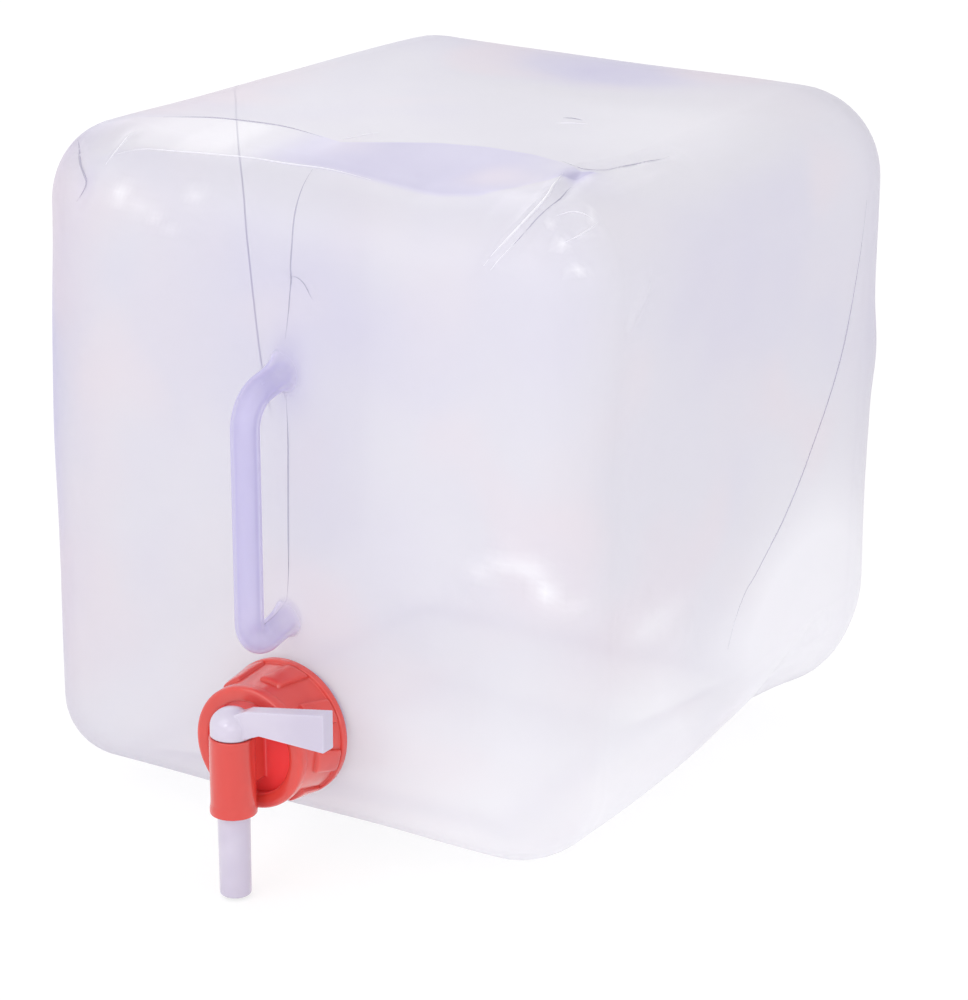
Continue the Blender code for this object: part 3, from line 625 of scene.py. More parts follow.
# %% Shape the folds
# Each fold's width, its depth and its points, in millimetres on the skin
FOLDS = (
    # near top corner: the three folds that meet there
    (3, 2.6, (90, -67, 288), (96, -83, 286), (103, -104, 285), (102, -115, 281), (99, -125, 274),
        (94, -130, 268)),
    (2.4, -1.5, (88, -77, 288), (95, -96, 288), (99, -109, 286), (97, -122, 278), (91, -130, 269),
        (86, -134, 262)),
    (3.4, 2.6, (88, -66, 288), (94, -62, 287), (98, -53, 288), (103, -38, 288), (106, -22, 287)),
    (4, -1.4, (102, -80, 287), (110, -72, 286), (108, -48, 285), (108, -30, 284)),
    # far left top corner
    (3.4, 3, (-119, -117, 282), (-109, -128, 277), (-103, -132, 272), (-100, -133, 268),
        (-104, -138, 261)),
    (2.6, -1, (-92, -110, 288), (-91, -123, 283), (-93, -131, 276)),
    # flecks under the left band
    (2.2, -0.9, (-86, -135, 271), (-79, -136, 267), (-72, -137, 264)),
    (2.2, -0.7, (-66, -137, 265), (-60, -137, 262)),
    (2.2, -0.7, (-52, -133, 273), (-46, -134, 271)),
    # hook over the handle
    (3, 1.2, (-6, -137, 241), (-1, -137, 246), (5, -137, 246), (10, -137, 241), (14, -137, 234)),
    # arched ridge on the front wall, right of the middle
    (5, -1.8, (84, -138, 134), (90, -138, 143), (99, -137, 148), (108, -134, 148), (115, -129, 141),
        (119, -124, 130)),
    (3, -1, (97, -137, 148), (99, -136, 159)),
    # the ridge goes on over the rounded edge
    (5, -0.8, (117, -127, 135), (123, -116, 127), (127, -99, 117)),
    (7, -1, (127, -90, 121), (128, -71, 107), (129, -40, 94)),
    # right wall: the stroke near its front edge and the fold over the notch
    (3, -1, (131, -82, 253), (130, -98, 236)),
    (3, 2.2, (122, 30, 38), (128, 43, 52), (131, 58, 60), (132, 72, 64)),
)
# Each dent's middle, its radius each way and its depth, where a swelling has a negative depth
DENTS = (
    # the film rises towards the roots of the handle
    ((0, -138, 211), (9, 20, 17), -3.2),
    ((0, -138, 107), (8, 20, 12), -2.6),
    # ring of light under the near top corner, and the fleck below it
    ((113, -112, 281), (6, 6, 6), 1.8),
    ((122, -121, 266), (2.6, 2.6, 2.6), -0.9),
    # below the arched ridge
    ((98, -137, 128), (20, 20, 13), 1.4),
    # the column beside the near upright edge
    ((130, -101, 190), (20, 12, 50), 1.2),
    # notch in the lower right edge, steep at its front end
    ((126, 44, 26), (26, 18, 22), 9),
    ((126, 16, 20), (26, 24, 18), 4.4),
    ((126, 74, 26), (26, 20, 16), 3.4),
    # the far bottom corner hangs down behind the notch
    ((112, 104, 22), (24, 28, 20), -3.6),
    # the lower right edge ahead of the notch
    ((120, -58, 8), (26, 34, 18), -1.8),
    # swelling on the far right upright edge
    ((132, 108, 176), (14, 7, 19), -2),
    # slack upright edge on the left
    ((-134, -126, 254), (24, 24, 34), 2.4),
    # slack top wall towards the back
    ((-60, 128, 286), (50, 34, 20), 1.6),
    ((20, 70, 288), (50, 40, 30), 2.2),
    ((-60, 20, 288), (40, 50, 30), -1.2),
    # sides and back, where the film sags a little between its edges
    ((-131, 30, 110), (30, 60, 70), 2),
    ((40, 136, 150), (70, 30, 80), 2.2),
    ((-70, 138, 90), (35, 30, 40), -1.4),
)
# Sag of the whole film, kept away from the neck, the handle's roots and the resting base
SAG_DEPTH = 0.7
SAG_LENGTH = 62
CALM_MIDDLE = (0, -137, 130)
CALM_RADII = (40, 30, 110)
RESTING_HEIGHT = 4


def shape_film(mesh):
    """Push the folds, the dents and a slow sag into the skin."""
    points = read_points(mesh)
    points[:, 2] -= tip_top_front(points) * MM
    write_points(mesh, points)
    normals = np.zeros(len(mesh.vertices) * 3)
    mesh.vertices.foreach_get("normal", normals)
    normals = normals.reshape(-1, 3)
    push = -soft_spots(points, DENTS) * MM
    for width, depth, *line in FOLDS:
        push -= fold(points, line, width, depth)
    calm = 1 - soft_spots(points, [(CALM_MIDDLE, CALM_RADII, 1)])
    sag = np.array([noise.noise(Vector(point) / (SAG_LENGTH * MM)) for point in points])
    push += sag * SAG_DEPTH * MM * calm * (points[:, 2] > RESTING_HEIGHT * MM)
    write_points(mesh, points + normals * push[:, None])
    return push


film_push = shape_film(bag_mesh)
print("film moved by", round(film_push.min() / MM, 1), "to", round(film_push.max() / MM, 1), "mm")

# %% [markdown]
# ### Painted shade and painted light on the film
# The film is painted more lilac, or paler, in soft spots, which go into a vertex attribute that the film
# material reads. Above the base they are painted shade in the folds of the top corners, at the back of
# the top and at the lower right corner. The film is also more lilac above and round the handle's roots,
# along the left edge and in the middle of the right wall. A negative spot is a paler place, which is
# painted light on the lower front, the lower right, the bottom and the top right. Painted highlights in
# white, and the band on the top wall with its painted shade and painted highlight, are painted in the
# same way.

# %% Paint the film
LILAC_SHADE_AND_LIGHT_SPOTS = (
    # more lilac above the handle, round its roots and along the left edge
    ((12, -137, 240), (46, 30, 40), 0.4),
    ((1, -138, 211), (8, 20, 15), 0.7),
    ((0, -138, 106), (8, 20, 11), 0.55),
    ((-131, -118, 190), (14, 26, 110), 1),
    # painted shade at the back of the top and in the folds at the top corners
    ((20, 80, 288), (45, 32, 14), 0.9),
    ((94, -74, 286), (6, 7, 5), 1),
    ((-100, -135, 267), (5, 7, 9), 0.6),
    ((102, -84, 286), (14, 18, 10), 0.35),
    # more lilac in the middle of the right wall
    ((128, 0, 220), (40, 90, 50), 0.25),
    # painted light: paler over the lower front
    ((76, -137, 54), (80, 40, 60), -1.1),
    # painted shade at the lower right corner
    ((128, -132, 34), (34, 34, 36), 0.8),
    # painted light: paler over the lower right, the bottom, the top right and the lower left front
    ((131, 60, 60), (40, 60, 60), -1.6),
    ((131, -75, 42), (40, 60, 55), -1.2),
    ((60, -60, 6), (90, 90, 30), -1),
    ((90, 0, 288), (70, 80, 14), -0.9),
    ((-90, -137, 60), (50, 20, 60), -0.1),
)
# Painted highlights and painted light in white: middle, radii and strength
PAINTED_HIGHLIGHT_SPOTS = (
    ((89, -138, 143), (7, 8, 4), 0.4),
    ((100, -137, 148), (8, 8, 4), 0.55),
    ((110, -134, 146), (6, 8, 5), 0.6),
    ((114, -130, 137), (4.5, 8, 5.5), 0.9),
    ((120, -122, 130), (7, 8, 4), 0.35),
    ((128, -71, 108), (8, 18, 7), 0.45),
    ((-82, -136, 268), (4, 6, 4), 0.7),
    ((-72, -137, 264), (7, 6, 3), 0.3),
    ((-48, -133, 272), (5, 6, 3), 0.4),
    ((-64, -137, 262), (3, 5, 2), 0.4),
    ((-56, -137, 257), (4, 5, 1.6), 0.25),
    ((122, -122, 266), (2.8, 2.8, 1.5), 0.9),
    ((119, -104, 280), (1.8, 1.8, 1.8), 0.9),
    ((114, -101, 283), (1.5, 1.5, 1.5), 0.6),
    ((115, -122, 274), (2.2, 2.2, 1.8), 0.95),
    ((108, -118, 280), (1.8, 1.8, 1.8), 0.7),
    ((118, -113, 276), (1.8, 2.2, 1.5), 0.6),
    ((109, -60, 285), (5, 18, 3), 0.4),
    # painted light: the lower right of the bag is paler all over
    ((76, -137, 50), (80, 40, 50), 0.25),
    ((131, 50, 55), (40, 80, 60), 0.5),
    ((131, -80, 42), (26, 50, 46), 0.55),
    # painted light on the far lower edge, against its shade, which is seen through the front wall
    ((0, 128, 14), (150, 36, 32), 0.55),
)
# The front edge of the band on the top wall, and its painted light: above zero painted shade in lilac,
# below zero a painted highlight in white
BAND_FRONT = ((-100, -128), (-83, -120), (-60, -116), (-39, -114), (-16, -112), (1, -109), (20, -110))
BAND_FRONT += ((35, -111), (54, -112), (70, -109), (80, -97), (90, -82), (100, -69))
BAND_SHADE_AND_HIGHLIGHT = ((-104, 0), (-88, -0.9), (-52, -1), (-40, -0.1), (-20, 0.6), (10, 1), (60, 0.9))
BAND_SHADE_AND_HIGHLIGHT += ((84, 0.5), (98, 0.8))
BAND_LOWEST = 262
BAND_FADE = 4
BAND_REACH = 104
LILAC_BASE = 0.3


def write_attribute(mesh, name, values):
    attribute = mesh.attributes.new(name, "FLOAT", "POINT")
    attribute.data.foreach_set("value", np.asarray(values, dtype=np.float32))


def paint_bag(mesh):
    points = read_points(mesh)
    x, y, z = points.T / MM
    on_top = np.clip((z - BAND_LOWEST) / BAND_FADE, 0, 1) * (np.abs(x) < BAND_REACH)
    # The lilac base, with painted shade above it and painted light below it
    write_attribute(mesh, "lilac", np.clip(LILAC_BASE + soft_spots(points, LILAC_SHADE_AND_LIGHT_SPOTS), -1, 1))
    # Painted highlights and painted light in white, in the next attribute
    write_attribute(mesh, "pale_and_painted_highlight", soft_spots(points, PAINTED_HIGHLIGHT_SPOTS))
    # The band on the top wall, with its painted shade and painted highlight
    write_attribute(mesh, "band_crease", across(TOP_CREASE, x) - y)
    write_attribute(mesh, "band_front", y - across(BAND_FRONT, x))
    write_attribute(mesh, "band_shade_and_highlight", across(BAND_SHADE_AND_HIGHLIGHT, x) * on_top)


paint_bag(bag_mesh)


def add_piece(name, mesh, material, body, replaced=(), sharp=math.radians(40)):
    """Make a finished mesh a piece of the carrier: shaded, with its finish, on its body."""
    mesh.name = name
    mesh.materials.clear()
    mesh.materials.append(material)
    mesh.shade_smooth()
    mesh.set_sharp_from_angle(angle=sharp)
    piece = place_object(name, mesh)
    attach(piece, body)
    if replaced:
        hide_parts(*replaced)
    print(name, "has", len(mesh.polygons), "faces")
    return piece


def fold_flat(piece):
    """Give the piece a mesh of its own."""
    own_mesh(piece)


front_low, front_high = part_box("bag_front_wall")
back_low, back_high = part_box("bag_back_wall")
BAG_WALLS = ("bag_front_wall", "bag_back_wall", "bag_top_wall")
BAG_WALLS += ("bag_bottom_wall", "bag_left_wall", "bag_right_wall")
bag_skin = add_piece("bag_skin", bag_mesh, bag_film, "bag", BAG_WALLS, sharp=math.radians(80))
fold_flat(bag_skin)
skin_tree = BVHTree.FromPolygons(
    [vert.co.copy() for vert in bag_mesh.vertices],
    [tuple(face.vertices) for face in bag_mesh.polygons],
)
print("front wall", list(front_low), list(front_high), "back wall", list(back_low), list(back_high))

# %% [markdown]
# ## Lines on the film
# The two halves of the mould leave a thin raised line down the front, and each side wall has the line
# along which it folds. They are far thinner than the grid of the skin, so they are pieces of their own.
# Geometry Nodes draw them: a path laid on the skin is cut into even steps and swept with a small round
# profile. The tree's inputs name the step and the thickness. The result is turned into a plain mesh
# before it rides on the bag.
# Thin dark lines of painted shade also lie along the creases, and white lines of painted highlight along
# the crease ridges and the top's front edge.

# %% Line tree
LINE_STEP = 1.5 * MM
LINE_SIDES = 8
THINNEST_SHARE = 0.15


def new_tree(name, inputs, output):
    """A Geometry Nodes tree with named inputs, the last of which is its finish."""
    inputs = {**inputs, "Finish": "Material"}
    return new_group(name, "GeometryNodeTree", inputs, {output: "Geometry"})


def end_tree(tree, entry, geometry):
    """Every tree ends in real geometry with its finish."""
    real = add_node(tree, "GeometryNodeRealizeInstances", {"Geometry": geometry})
    values = {"Geometry": real["Geometry"], "Material": entry["Finish"]}
    finished = add_node(tree, "GeometryNodeSetMaterial", values)
    add_node(tree, "NodeGroupOutput", {0: finished["Geometry"]})
    return tree


def sweep_round(tree, curve, radius, sides, scale=1):
    """A curve swept with a round profile and closed at both ends."""
    profile = add_node(tree, "GeometryNodeCurvePrimitiveCircle", {"Resolution": sides, "Radius": radius})
    values = {"Curve": curve, "Profile Curve": profile["Curve"], "Scale": scale, "Fill Caps": True}
    return add_node(tree, "GeometryNodeCurveToMesh", values)["Mesh"]


def build_line_tree():
    """Sweep a path with a round profile that thins out at both ends."""
    inputs = {"Path": "Geometry", "Step length": "Float", "Line radius": "Float", "Thin share": "Float"}
    tree, entry = new_tree("raised_line", inputs, "Line")
    values = {"Curve": entry["Path"], "Length": entry["Step length"]}
    even = add_node(tree, "GeometryNodeResampleCurve", values, mode="LENGTH")
    # Distance from the nearer end, as a share of the path, over the thin share, but at most 1
    factor = add_node(tree, "GeometryNodeSplineParameter")["Factor"]
    nearer_end = add_math(tree, "MINIMUM", factor, add_math(tree, "SUBTRACT", 1, factor))
    share = add_math(tree, "DIVIDE", nearer_end, entry["Thin share"])
    thickness = add_math(tree, "MAXIMUM", add_math(tree, "MINIMUM", share, 1), THINNEST_SHARE)
    swept = sweep_round(tree, even["Curve"], entry["Line radius"], LINE_SIDES, thickness)
    return end_tree(tree, entry, swept)


def plain_result(holder, helpers=()):
    """An object's mesh with its modifiers applied. The object and its helpers are removed."""
    graph = bpy.context.evaluated_depsgraph_get()
    mesh = bpy.data.meshes.new_from_object(holder.evaluated_get(graph))
    holder.modifiers.clear()
    for made in (holder, *helpers):
        bpy.data.objects.remove(made)
    return mesh


def run_tree(holder, tree, values):
    """Run a tree on an object. Its inputs are set by name, through the modifier's identifiers."""
    modifier = holder.modifiers.new(tree.name, "NODES")
    modifier.node_group = tree
    for item in tree.interface.items_tree:
        if item.in_out == "INPUT" and item.name in values:
            modifier[item.identifier] = values[item.name]
    return plain_result(holder)


def draw_line(name, points, radius, thin_share, material):
    """A raised line through points in metres, as a piece of the bag."""
    data = bpy.data.curves.new(name, "CURVE")
    data.dimensions = "3D"
    spline = data.splines.new("POLY")
    spline.points.add(len(points) - 1)
    for place, point in zip(spline.points, points):
        place.co = (*point, 1)
    values = {"Step length": LINE_STEP, "Line radius": radius, "Thin share": thin_share}
    mesh = run_tree(place_object(name, data), line_tree, {**values, "Finish": material})
    return add_piece(name, mesh, material, "bag")


line_tree = build_line_tree()
print("tree", line_tree.name)

# %% Lay the lines
LINE_LIFT = 0.12 * MM
ROUTE_STEPS = 8
ROUTE_ROUNDS = 6
# Each line's thickness and its points, in millimetres on the skin
SEAM_AND_SHADE_LINES = {
    "front_parting_line": (0.3, (0, -138, 222), (1, -137, 238), (1.2, -136, 249), (1.8, -136, 260),
        (-0.5, -130, 271), (-3, -121, 279), (-5, -112, 284)),
    "grip_parting_line": (0.34, (0.6, -138, 200), (0.3, -138, 160), (0, -138, 130), (0, -138, 113)),
    "right_fold_line": (0.26, (133, 94, 244), (133, 89, 219), (133, 79, 187), (133, 66, 166),
        (134, 53, 150), (133, 41, 135), (133, 28, 121), (132, 19, 113), (131, 8, 103), (130, 1, 98),
        (130, -6, 88), (129, -11, 76)),
    # painted shade: dark lines in the creases and by the mark on the top
    "top_crease_shade": (0.24, (-92, -93, 288), (-78, -82, 288), (-62, -78, 288), (-42, -77, 288),
        (-20, -83, 288)),
    "top_mark_shade": (0.2, (46, -8, 289), (49, -6, 290), (54, -6, 289)),
    "corner_crease_shade": (0.24, (97, -86, 286), (103, -104, 286), (102, -115, 281), (99, -125, 274),
        (95, -130, 269)),
    "far_left_crease_shade": (0.45, (-118, -118, 282), (-109, -128, 277), (-103, -132, 272),
        (-100, -133, 268), (-103, -137, 262)),
    "junction_crease_shade": (0.24, (80, -64, 288), (89, -67, 287), (94, -62, 287), (98, -53, 288),
        (103, -38, 288), (106, -26, 287)),
    "hook_crease_shade": (0.16, (0, -137, 246), (3, -137, 247), (7, -137, 245), (11, -137, 239)),
}
# This one lies on the far wall and is seen through the film
FOLD_LINES = {
    "left_fold_line": (0.4, (-108, -20, 286), (-113, -15, 283), (-117, -10, 279), (-122, -3, 274),
        (-126, 2, 268), (-129, 7, 257), (-129, 9, 243), (-129, 11, 229), (-130, 13, 210), (-130, 17, 186),
        (-131, 21, 162), (-131, 25, 138), (-131, 30, 118)),
}
# Painted highlights: white lines along the crease ridges, the ring of light, the top's front edge, a
# stroke and the mark on the top
HIGHLIGHT_LINES = {
    "corner_crease": (0.55, (88, -77, 287), (95, -96, 287), (99, -109, 285), (97, -122, 278),
        (92, -129, 270), (88, -133, 264)),
    "corner_crease_twin": (0.2, (99, -126, 275), (95, -131, 269), (91, -134, 263)),
    "ring_top": (0.24, (108, -114, 282), (111, -109, 283), (114, -106, 282), (118, -105, 281)),
    "ring_side": (0.26, (120, -104, 279), (119, -110, 277), (118, -116, 276), (115, -121, 274)),
    "edge_highlight": (0.34, (-92, -127, 280), (-83, -121, 283), (-72, -118, 283), (-60, -116, 283),
        (-39, -114, 284), (-16, -112, 284), (1, -109, 284), (21, -110, 283)),
    "left_stroke": (0.3, (-92, -113, 287), (-91, -123, 283), (-93, -130, 277)),
    "top_mark": (0.26, (48, -17, 289), (53, -13, 290), (59, -10, 289)),
    "top_hook": (0.28, (-12, -82, 288), (-9, -75, 289), (-7, -69, 289), (-5, -66, 289)),
}


def on_skin(point):
    """The nearest place on the film, lifted a little off it."""
    place, normal = skin_tree.find_nearest(Vector(point) * MM)[:2]
    return place + normal * LINE_LIFT


def smooth_route(points):
    """A smooth curve through points, laid on the skin in short runs. Averaging it a few times
    takes out the jumps from one side of a groove to the other."""
    points = [Vector(point) for point in points]
    route = []
    befores = [points[0], *points]
    afters = [*points[2:], points[-1]]
    for before, start, end, after in zip(befores, points, points[1:], afters):
        for t in np.arange(ROUTE_STEPS) / ROUTE_STEPS:
            place = 2 * start + (end - before) * t
            place += (2 * before - 5 * start + 4 * end - after) * t**2
            place += (3 * start - before - 3 * end + after) * t**3
            route.append(place / 2)
    route.append(points[-1])
    laid = [on_skin(point) for point in route]
    for _ in range(ROUTE_ROUNDS):
        middle = [(a + 2 * b + c) / 4 for a, b, c in zip(laid, laid[1:], laid[2:])]
        laid = [laid[0], *middle, laid[-1]]
    return laid


# Each group of lines has its finish, and the share of a line that runs thin at each end
LINE_GROUPS = ((SEAM_AND_SHADE_LINES, line_film, 0.3), (HIGHLIGHT_LINES, highlight_line_film, 0.3))
LINE_GROUPS += ((FOLD_LINES, fold_film, 0.05),)
for lines, finish, thin_share in LINE_GROUPS:
    for line_name, (thickness, *line_points) in lines.items():
        route = smooth_route(line_points)
        fold_flat(draw_line(line_name, route, thickness * MM, thin_share, finish))

# %% [markdown]
# ## Turned pieces
# The neck, the gasket and the collar are round about the neck's axis, so each is an outline spun
# round it. Small arcs in the outline give every edge its moulded round, which catches a fine line
# of light. The neck's back edge isn't flat: its rings are laid on the film.

# %% Turning tools
NECK_HEIGHT = 60 * MM
MOST_CUT = 0.49
FORWARD = Vector((0, -1, 0))
UPWARD = Vector((0, 0, 1))
FINE_SIDES = 128


def arc(centre, radius, start, end, steps):
    """Points on a stretch of a circle, with angles in degrees."""
    turns = np.radians(np.linspace(start, end, steps + 1))
    return [(centre[0] + radius * math.cos(turn), centre[1] + radius * math.sin(turn)) for turn in turns]


def rounded(corners, steps=4):
    """A closed outline through corners, each given with how much of it is rounded off, in
    millimetres, but less than half of a side."""
    points = []
    for number, (x, y, size) in enumerate(corners):
        corner = Vector((x, y))
        if size == 0:
            points.append((x, y))
            continue
        into = Vector(corners[number - 1][:2]) - corner
        out_of = Vector(corners[(number + 1) % len(corners)][:2]) - corner
        cut = min(size * MM, into.length * MOST_CUT, out_of.length * MOST_CUT)
        start = corner + into.normalized() * cut
        end = corner + out_of.normalized() * cut
        for t in np.arange(steps + 1) / steps:
            points.append(tuple(start * (1 - t) ** 2 + corner * 2 * t * (1 - t) + end * t**2))
    return points


def join_rows(bm, rows, closed=True):
    """Skin rows of points, one after another. Closed rows are joined all the way round."""
    for this, after in zip(rows, rows[1:]):
        for number in range(len(this) if closed else len(this) - 1):
            beside = (number + 1) % len(this)
            bm.faces.new((this[number], this[beside], after[beside], after[number]))


def unit_circle(sides):
    """Points on a circle of radius one."""
    angles = [math.tau * step / sides for step in range(sides)]
    return [(math.cos(angle), math.sin(angle)) for angle in angles]


def spin(name, outline, place, facing=FORWARD, sides=FINE_SIDES, closed=True):
    """Spin an outline of (radius, height) round an axis that starts at a place. An outline that
    isn't closed gets a flat face at each end."""
    turn = UPWARD.rotation_difference(facing).to_matrix()
    bm = bmesh.new()
    rings = []
    for radius, height in outline:
        ring = [Vector((radius * x, radius * y, height)) for x, y in unit_circle(sides)]
        rings.append([bm.verts.new(Vector(place) + turn @ point) for point in ring])
    if closed:
        rings.append(rings[0])
    else:
        bm.faces.new(rings[0])
        bm.faces.new(rings[-1])
    join_rows(bm, rings)
    return plain_mesh(bm, name)


print("turning tools ready,", FINE_SIDES, "sides")

# %% Neck and gasket
neck_low, neck_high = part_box("bag_neck")
FRONT_PANEL = -BAG_DEPTH / 2
NECK_BORE = 18.5 * MM
NECK_RADIUS = 21.2 * MM
NECK_ROOT = 26.5 * MM
BEAD_RADIUS = 24.5 * MM
BEAD_BACK = 4.6 * MM
BEAD_FRONT = 6.2 * MM
NECK_LENGTH = FRONT_PANEL - neck_low.y
FOOT_BACK = 0.8 * MM
NECK_LILAC = 0.4
ON_FILM = 0.15 * MM
LAID_RINGS = 2


def lay_on_film(point, along):
    """Slide a point along a direction until it lies just on the film."""
    hit = skin_tree.ray_cast(point - along * 40 * MM, along)[0]
    return hit - along * ON_FILM if hit else point


def neck_foot(t):
    """The hollow curve between the neck's wide root and its bead, at an angle t."""
    wide = (NECK_ROOT - NECK_RADIUS) * (1 - math.sin(t))
    back = (BEAD_BACK - FOOT_BACK) * (1 - t / (math.pi / 2))
    return NECK_RADIUS + wide, BEAD_BACK - back


neck_corners = (
    (BEAD_RADIUS - 0.8 * MM, BEAD_BACK, 0),
    (BEAD_RADIUS, BEAD_BACK + 0.3 * MM, 0.6),
    (BEAD_RADIUS, BEAD_FRONT, 0.6),
    (NECK_RADIUS, BEAD_FRONT + 0.6 * MM, 0.6),
    (NECK_RADIUS, NECK_LENGTH, 0.6),
    (NECK_BORE, NECK_LENGTH, 0.6),
    (NECK_BORE, 1 * MM, 0),
)
neck_outline = [(NECK_BORE, 0), (NECK_ROOT, 0), *[neck_foot(t) for t in np.linspace(0.3, 1.2, 6)]]
neck_mesh = spin("bag_neck", neck_outline + rounded(neck_corners), (0, FRONT_PANEL, NECK_HEIGHT))
for vert in neck_mesh.vertices[: LAID_RINGS * FINE_SIDES]:
    vert.co = lay_on_film(vert.co, -FORWARD)
write_attribute(neck_mesh, "lilac", np.full(len(neck_mesh.vertices), NECK_LILAC))
add_piece("bag_neck_skin", neck_mesh, grip_film, "bag", ("bag_neck",))

gasket_low, gasket_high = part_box("neck_gasket")
gasket_outer = (gasket_high.x - gasket_low.x) / 2
gasket_inner = NECK_BORE + 0.5 * MM
gasket_length = gasket_high.y - gasket_low.y
gasket_corners = [(gasket_inner, 0), (gasket_outer, 0)]
gasket_corners += [(gasket_outer, gasket_length), (gasket_inner, gasket_length)]
gasket_outline = rounded([(*corner, 0.5) for corner in gasket_corners])
gasket_mesh = spin("gasket", gasket_outline, (0, gasket_high.y, NECK_HEIGHT))
add_piece("gasket_ring", gasket_mesh, gasket_foam, "tap", ("neck_gasket",))
print("neck from", round(neck_low.y, 4), "to", round(neck_high.y, 4))

# %% [markdown]
# ## The screw collar
# The collar has a flanged rim at the back, a cone with grip lugs, and a rounded ring round the
# recess where the tap's flange shows. The lugs repeat, so Geometry Nodes place them: one soft pad
# that hugs the cone is copied round the axis, and the count is an input of the tree.

# %% Collar shell
collar_low, collar_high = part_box("screw_collar")
COLLAR_LENGTH = collar_high.y - collar_low.y
CAVITY_RADIUS = 22.7 * MM
RIM_RADIUS = 29 * MM
RIM_LENGTH = 3.2 * MM
CONE_REAR = 27.4 * MM
CONE_FRONT = 24.9 * MM
RING_RADIUS = 25.8 * MM
RING_LENGTH = 5 * MM
RING_ROUND = 2.73
RECESS_SHARE = 0.8
LIP_RADIUS = 19.4 * MM
LIP_THICKNESS = 4 * MM
ring_start = COLLAR_LENGTH - RING_LENGTH
collar_corners = (
    (CAVITY_RADIUS, 1.2 * MM, 0.3),
    (CAVITY_RADIUS + 1.2 * MM, 0, 0.3),
    (RIM_RADIUS, 0, 0.8),
    (RIM_RADIUS, RIM_LENGTH, 0.9),
    (CONE_REAR, RIM_LENGTH + 0.2 * MM, 0.5),
    (CONE_FRONT, ring_start, 0.4),
    (RING_RADIUS, ring_start + 0.5 * MM, 0.5),
    (RING_RADIUS, COLLAR_LENGTH, RING_ROUND),
    (LIP_RADIUS, COLLAR_LENGTH, RING_ROUND),
    (LIP_RADIUS, COLLAR_LENGTH - LIP_THICKNESS, 0.3),
    (CAVITY_RADIUS, COLLAR_LENGTH - LIP_THICKNESS, 0.3),
)
collar_outline = rounded(collar_corners, steps=6)
collar_mesh = spin("collar", collar_outline, (0, collar_high.y, NECK_HEIGHT), sides=192)
collar_points = read_points(collar_mesh)
collar_reach = np.hypot(collar_points[:, 0], collar_points[:, 2] - NECK_HEIGHT)
# Painted light: the collar's lip round the recess gets the brighter red
write_attribute(collar_mesh, "recess_painted_light", RECESS_SHARE * (collar_reach < LIP_RADIUS + 0.4 * MM))
add_piece("collar_shell", collar_mesh, red_plastic, "collar", ("screw_collar",))

# %% Collar lugs
LUG_COUNT = 8
LUG_LIFT = 1.6 * MM
LUG_SINK = 0.4 * MM
LUG_WIDTH_SHARE = 0.5
LUG_LENGTH_SHARE = 0.75
LUG_SLANT_SHARE = 0.25
LUG_FIRST_ANGLE = math.radians(-28)
PAD_COLUMNS = 22
PAD_ROWS = 26
PAD_WELD = 0.01 * MM
# High powers keep a pad flat and round it off only at its very edge
SIDE_POWER = 10
END_POWER = 14


def lug_pad():
    """One soft pad on the cone. It stands along +Z from the collar's back edge, at angle zero."""
    cone_length = ring_start - RIM_LENGTH
    sector = math.tau / LUG_COUNT

    def place(column, row, top):
        u = column / PAD_COLUMNS * 2 - 1
        v = row / PAD_ROWS
        share = v * LUG_LENGTH_SHARE
        height = RIM_LENGTH + cone_length * share
        cone = CONE_REAR + (CONE_FRONT - CONE_REAR) * share
        edge = (1 - abs(u) ** SIDE_POWER) * (1 - abs(v * 2 - 1) ** END_POWER)
        radius = cone - LUG_SINK + (LUG_SINK + LUG_LIFT) * math.sqrt(max(edge, 0)) * top
        angle = sector * (LUG_WIDTH_SHARE * (u + 1) / 2 + LUG_SLANT_SHARE * share)
        return Vector((radius * math.cos(angle), radius * math.sin(angle), height))

    bm = bmesh.new()
    for top in (1, 0):
        rows = range(PAD_ROWS + 1)
        grid = [[bm.verts.new(place(c, r, top)) for c in range(PAD_COLUMNS + 1)] for r in rows]
        join_rows(bm, grid, closed=False)
    bmesh.ops.remove_doubles(bm, verts=bm.verts, dist=PAD_WELD)
    return plain_mesh(bm, "lug_pad")


def build_ring_tree():
    """Copies of the incoming mesh, turned evenly round Z."""
    inputs = {"Piece": "Geometry", "Count": "Int", "First angle": "Float"}
    tree, entry = new_tree("copies_in_a_ring", inputs, "Ring")
    index = add_node(tree, "GeometryNodeInputIndex")["Index"]
    share = add_math(tree, "DIVIDE", index, entry["Count"])
    values = {0: share, 1: math.tau, 2: entry["First angle"]}
    angle = add_node(tree, "ShaderNodeMath", values, operation="MULTIPLY_ADD")["Value"]
    values = {
        "Points": add_node(tree, "GeometryNodePoints", {"Count": entry["Count"]})["Points"],
        "Instance": entry["Piece"],
        "Rotation": add_node(tree, "ShaderNodeCombineXYZ", {"Z": angle})["Vector"],
    }
    copies = add_node(tree, "GeometryNodeInstanceOnPoints", values)["Instances"]
    return end_tree(tree, entry, copies)


def about_neck(back):
    """The turn and the place that bring a piece made about Z to the neck's axis, from back forward."""
    turn = UPWARD.rotation_difference(FORWARD).to_matrix().to_4x4()
    return Matrix.Translation((0, back, NECK_HEIGHT)) @ turn


ring_values = {"Count": LUG_COUNT, "First angle": LUG_FIRST_ANGLE, "Finish": red_plastic}
lug_mesh = run_tree(place_object("lug_pad", lug_pad()), build_ring_tree(), ring_values)
lug_mesh.transform(about_neck(collar_high.y))
add_piece("collar_lugs", lug_mesh, red_plastic, "collar")

# %% [markdown]
# ## The screw threads
# Two turns bring the collar off by eight millimetres, so the thread climbs four millimetres a turn.
# A spiral swept with a round profile makes it, once outside the neck and once inside the collar,
# half a turn's climb apart so that they mesh. Both come from one tree with named inputs.

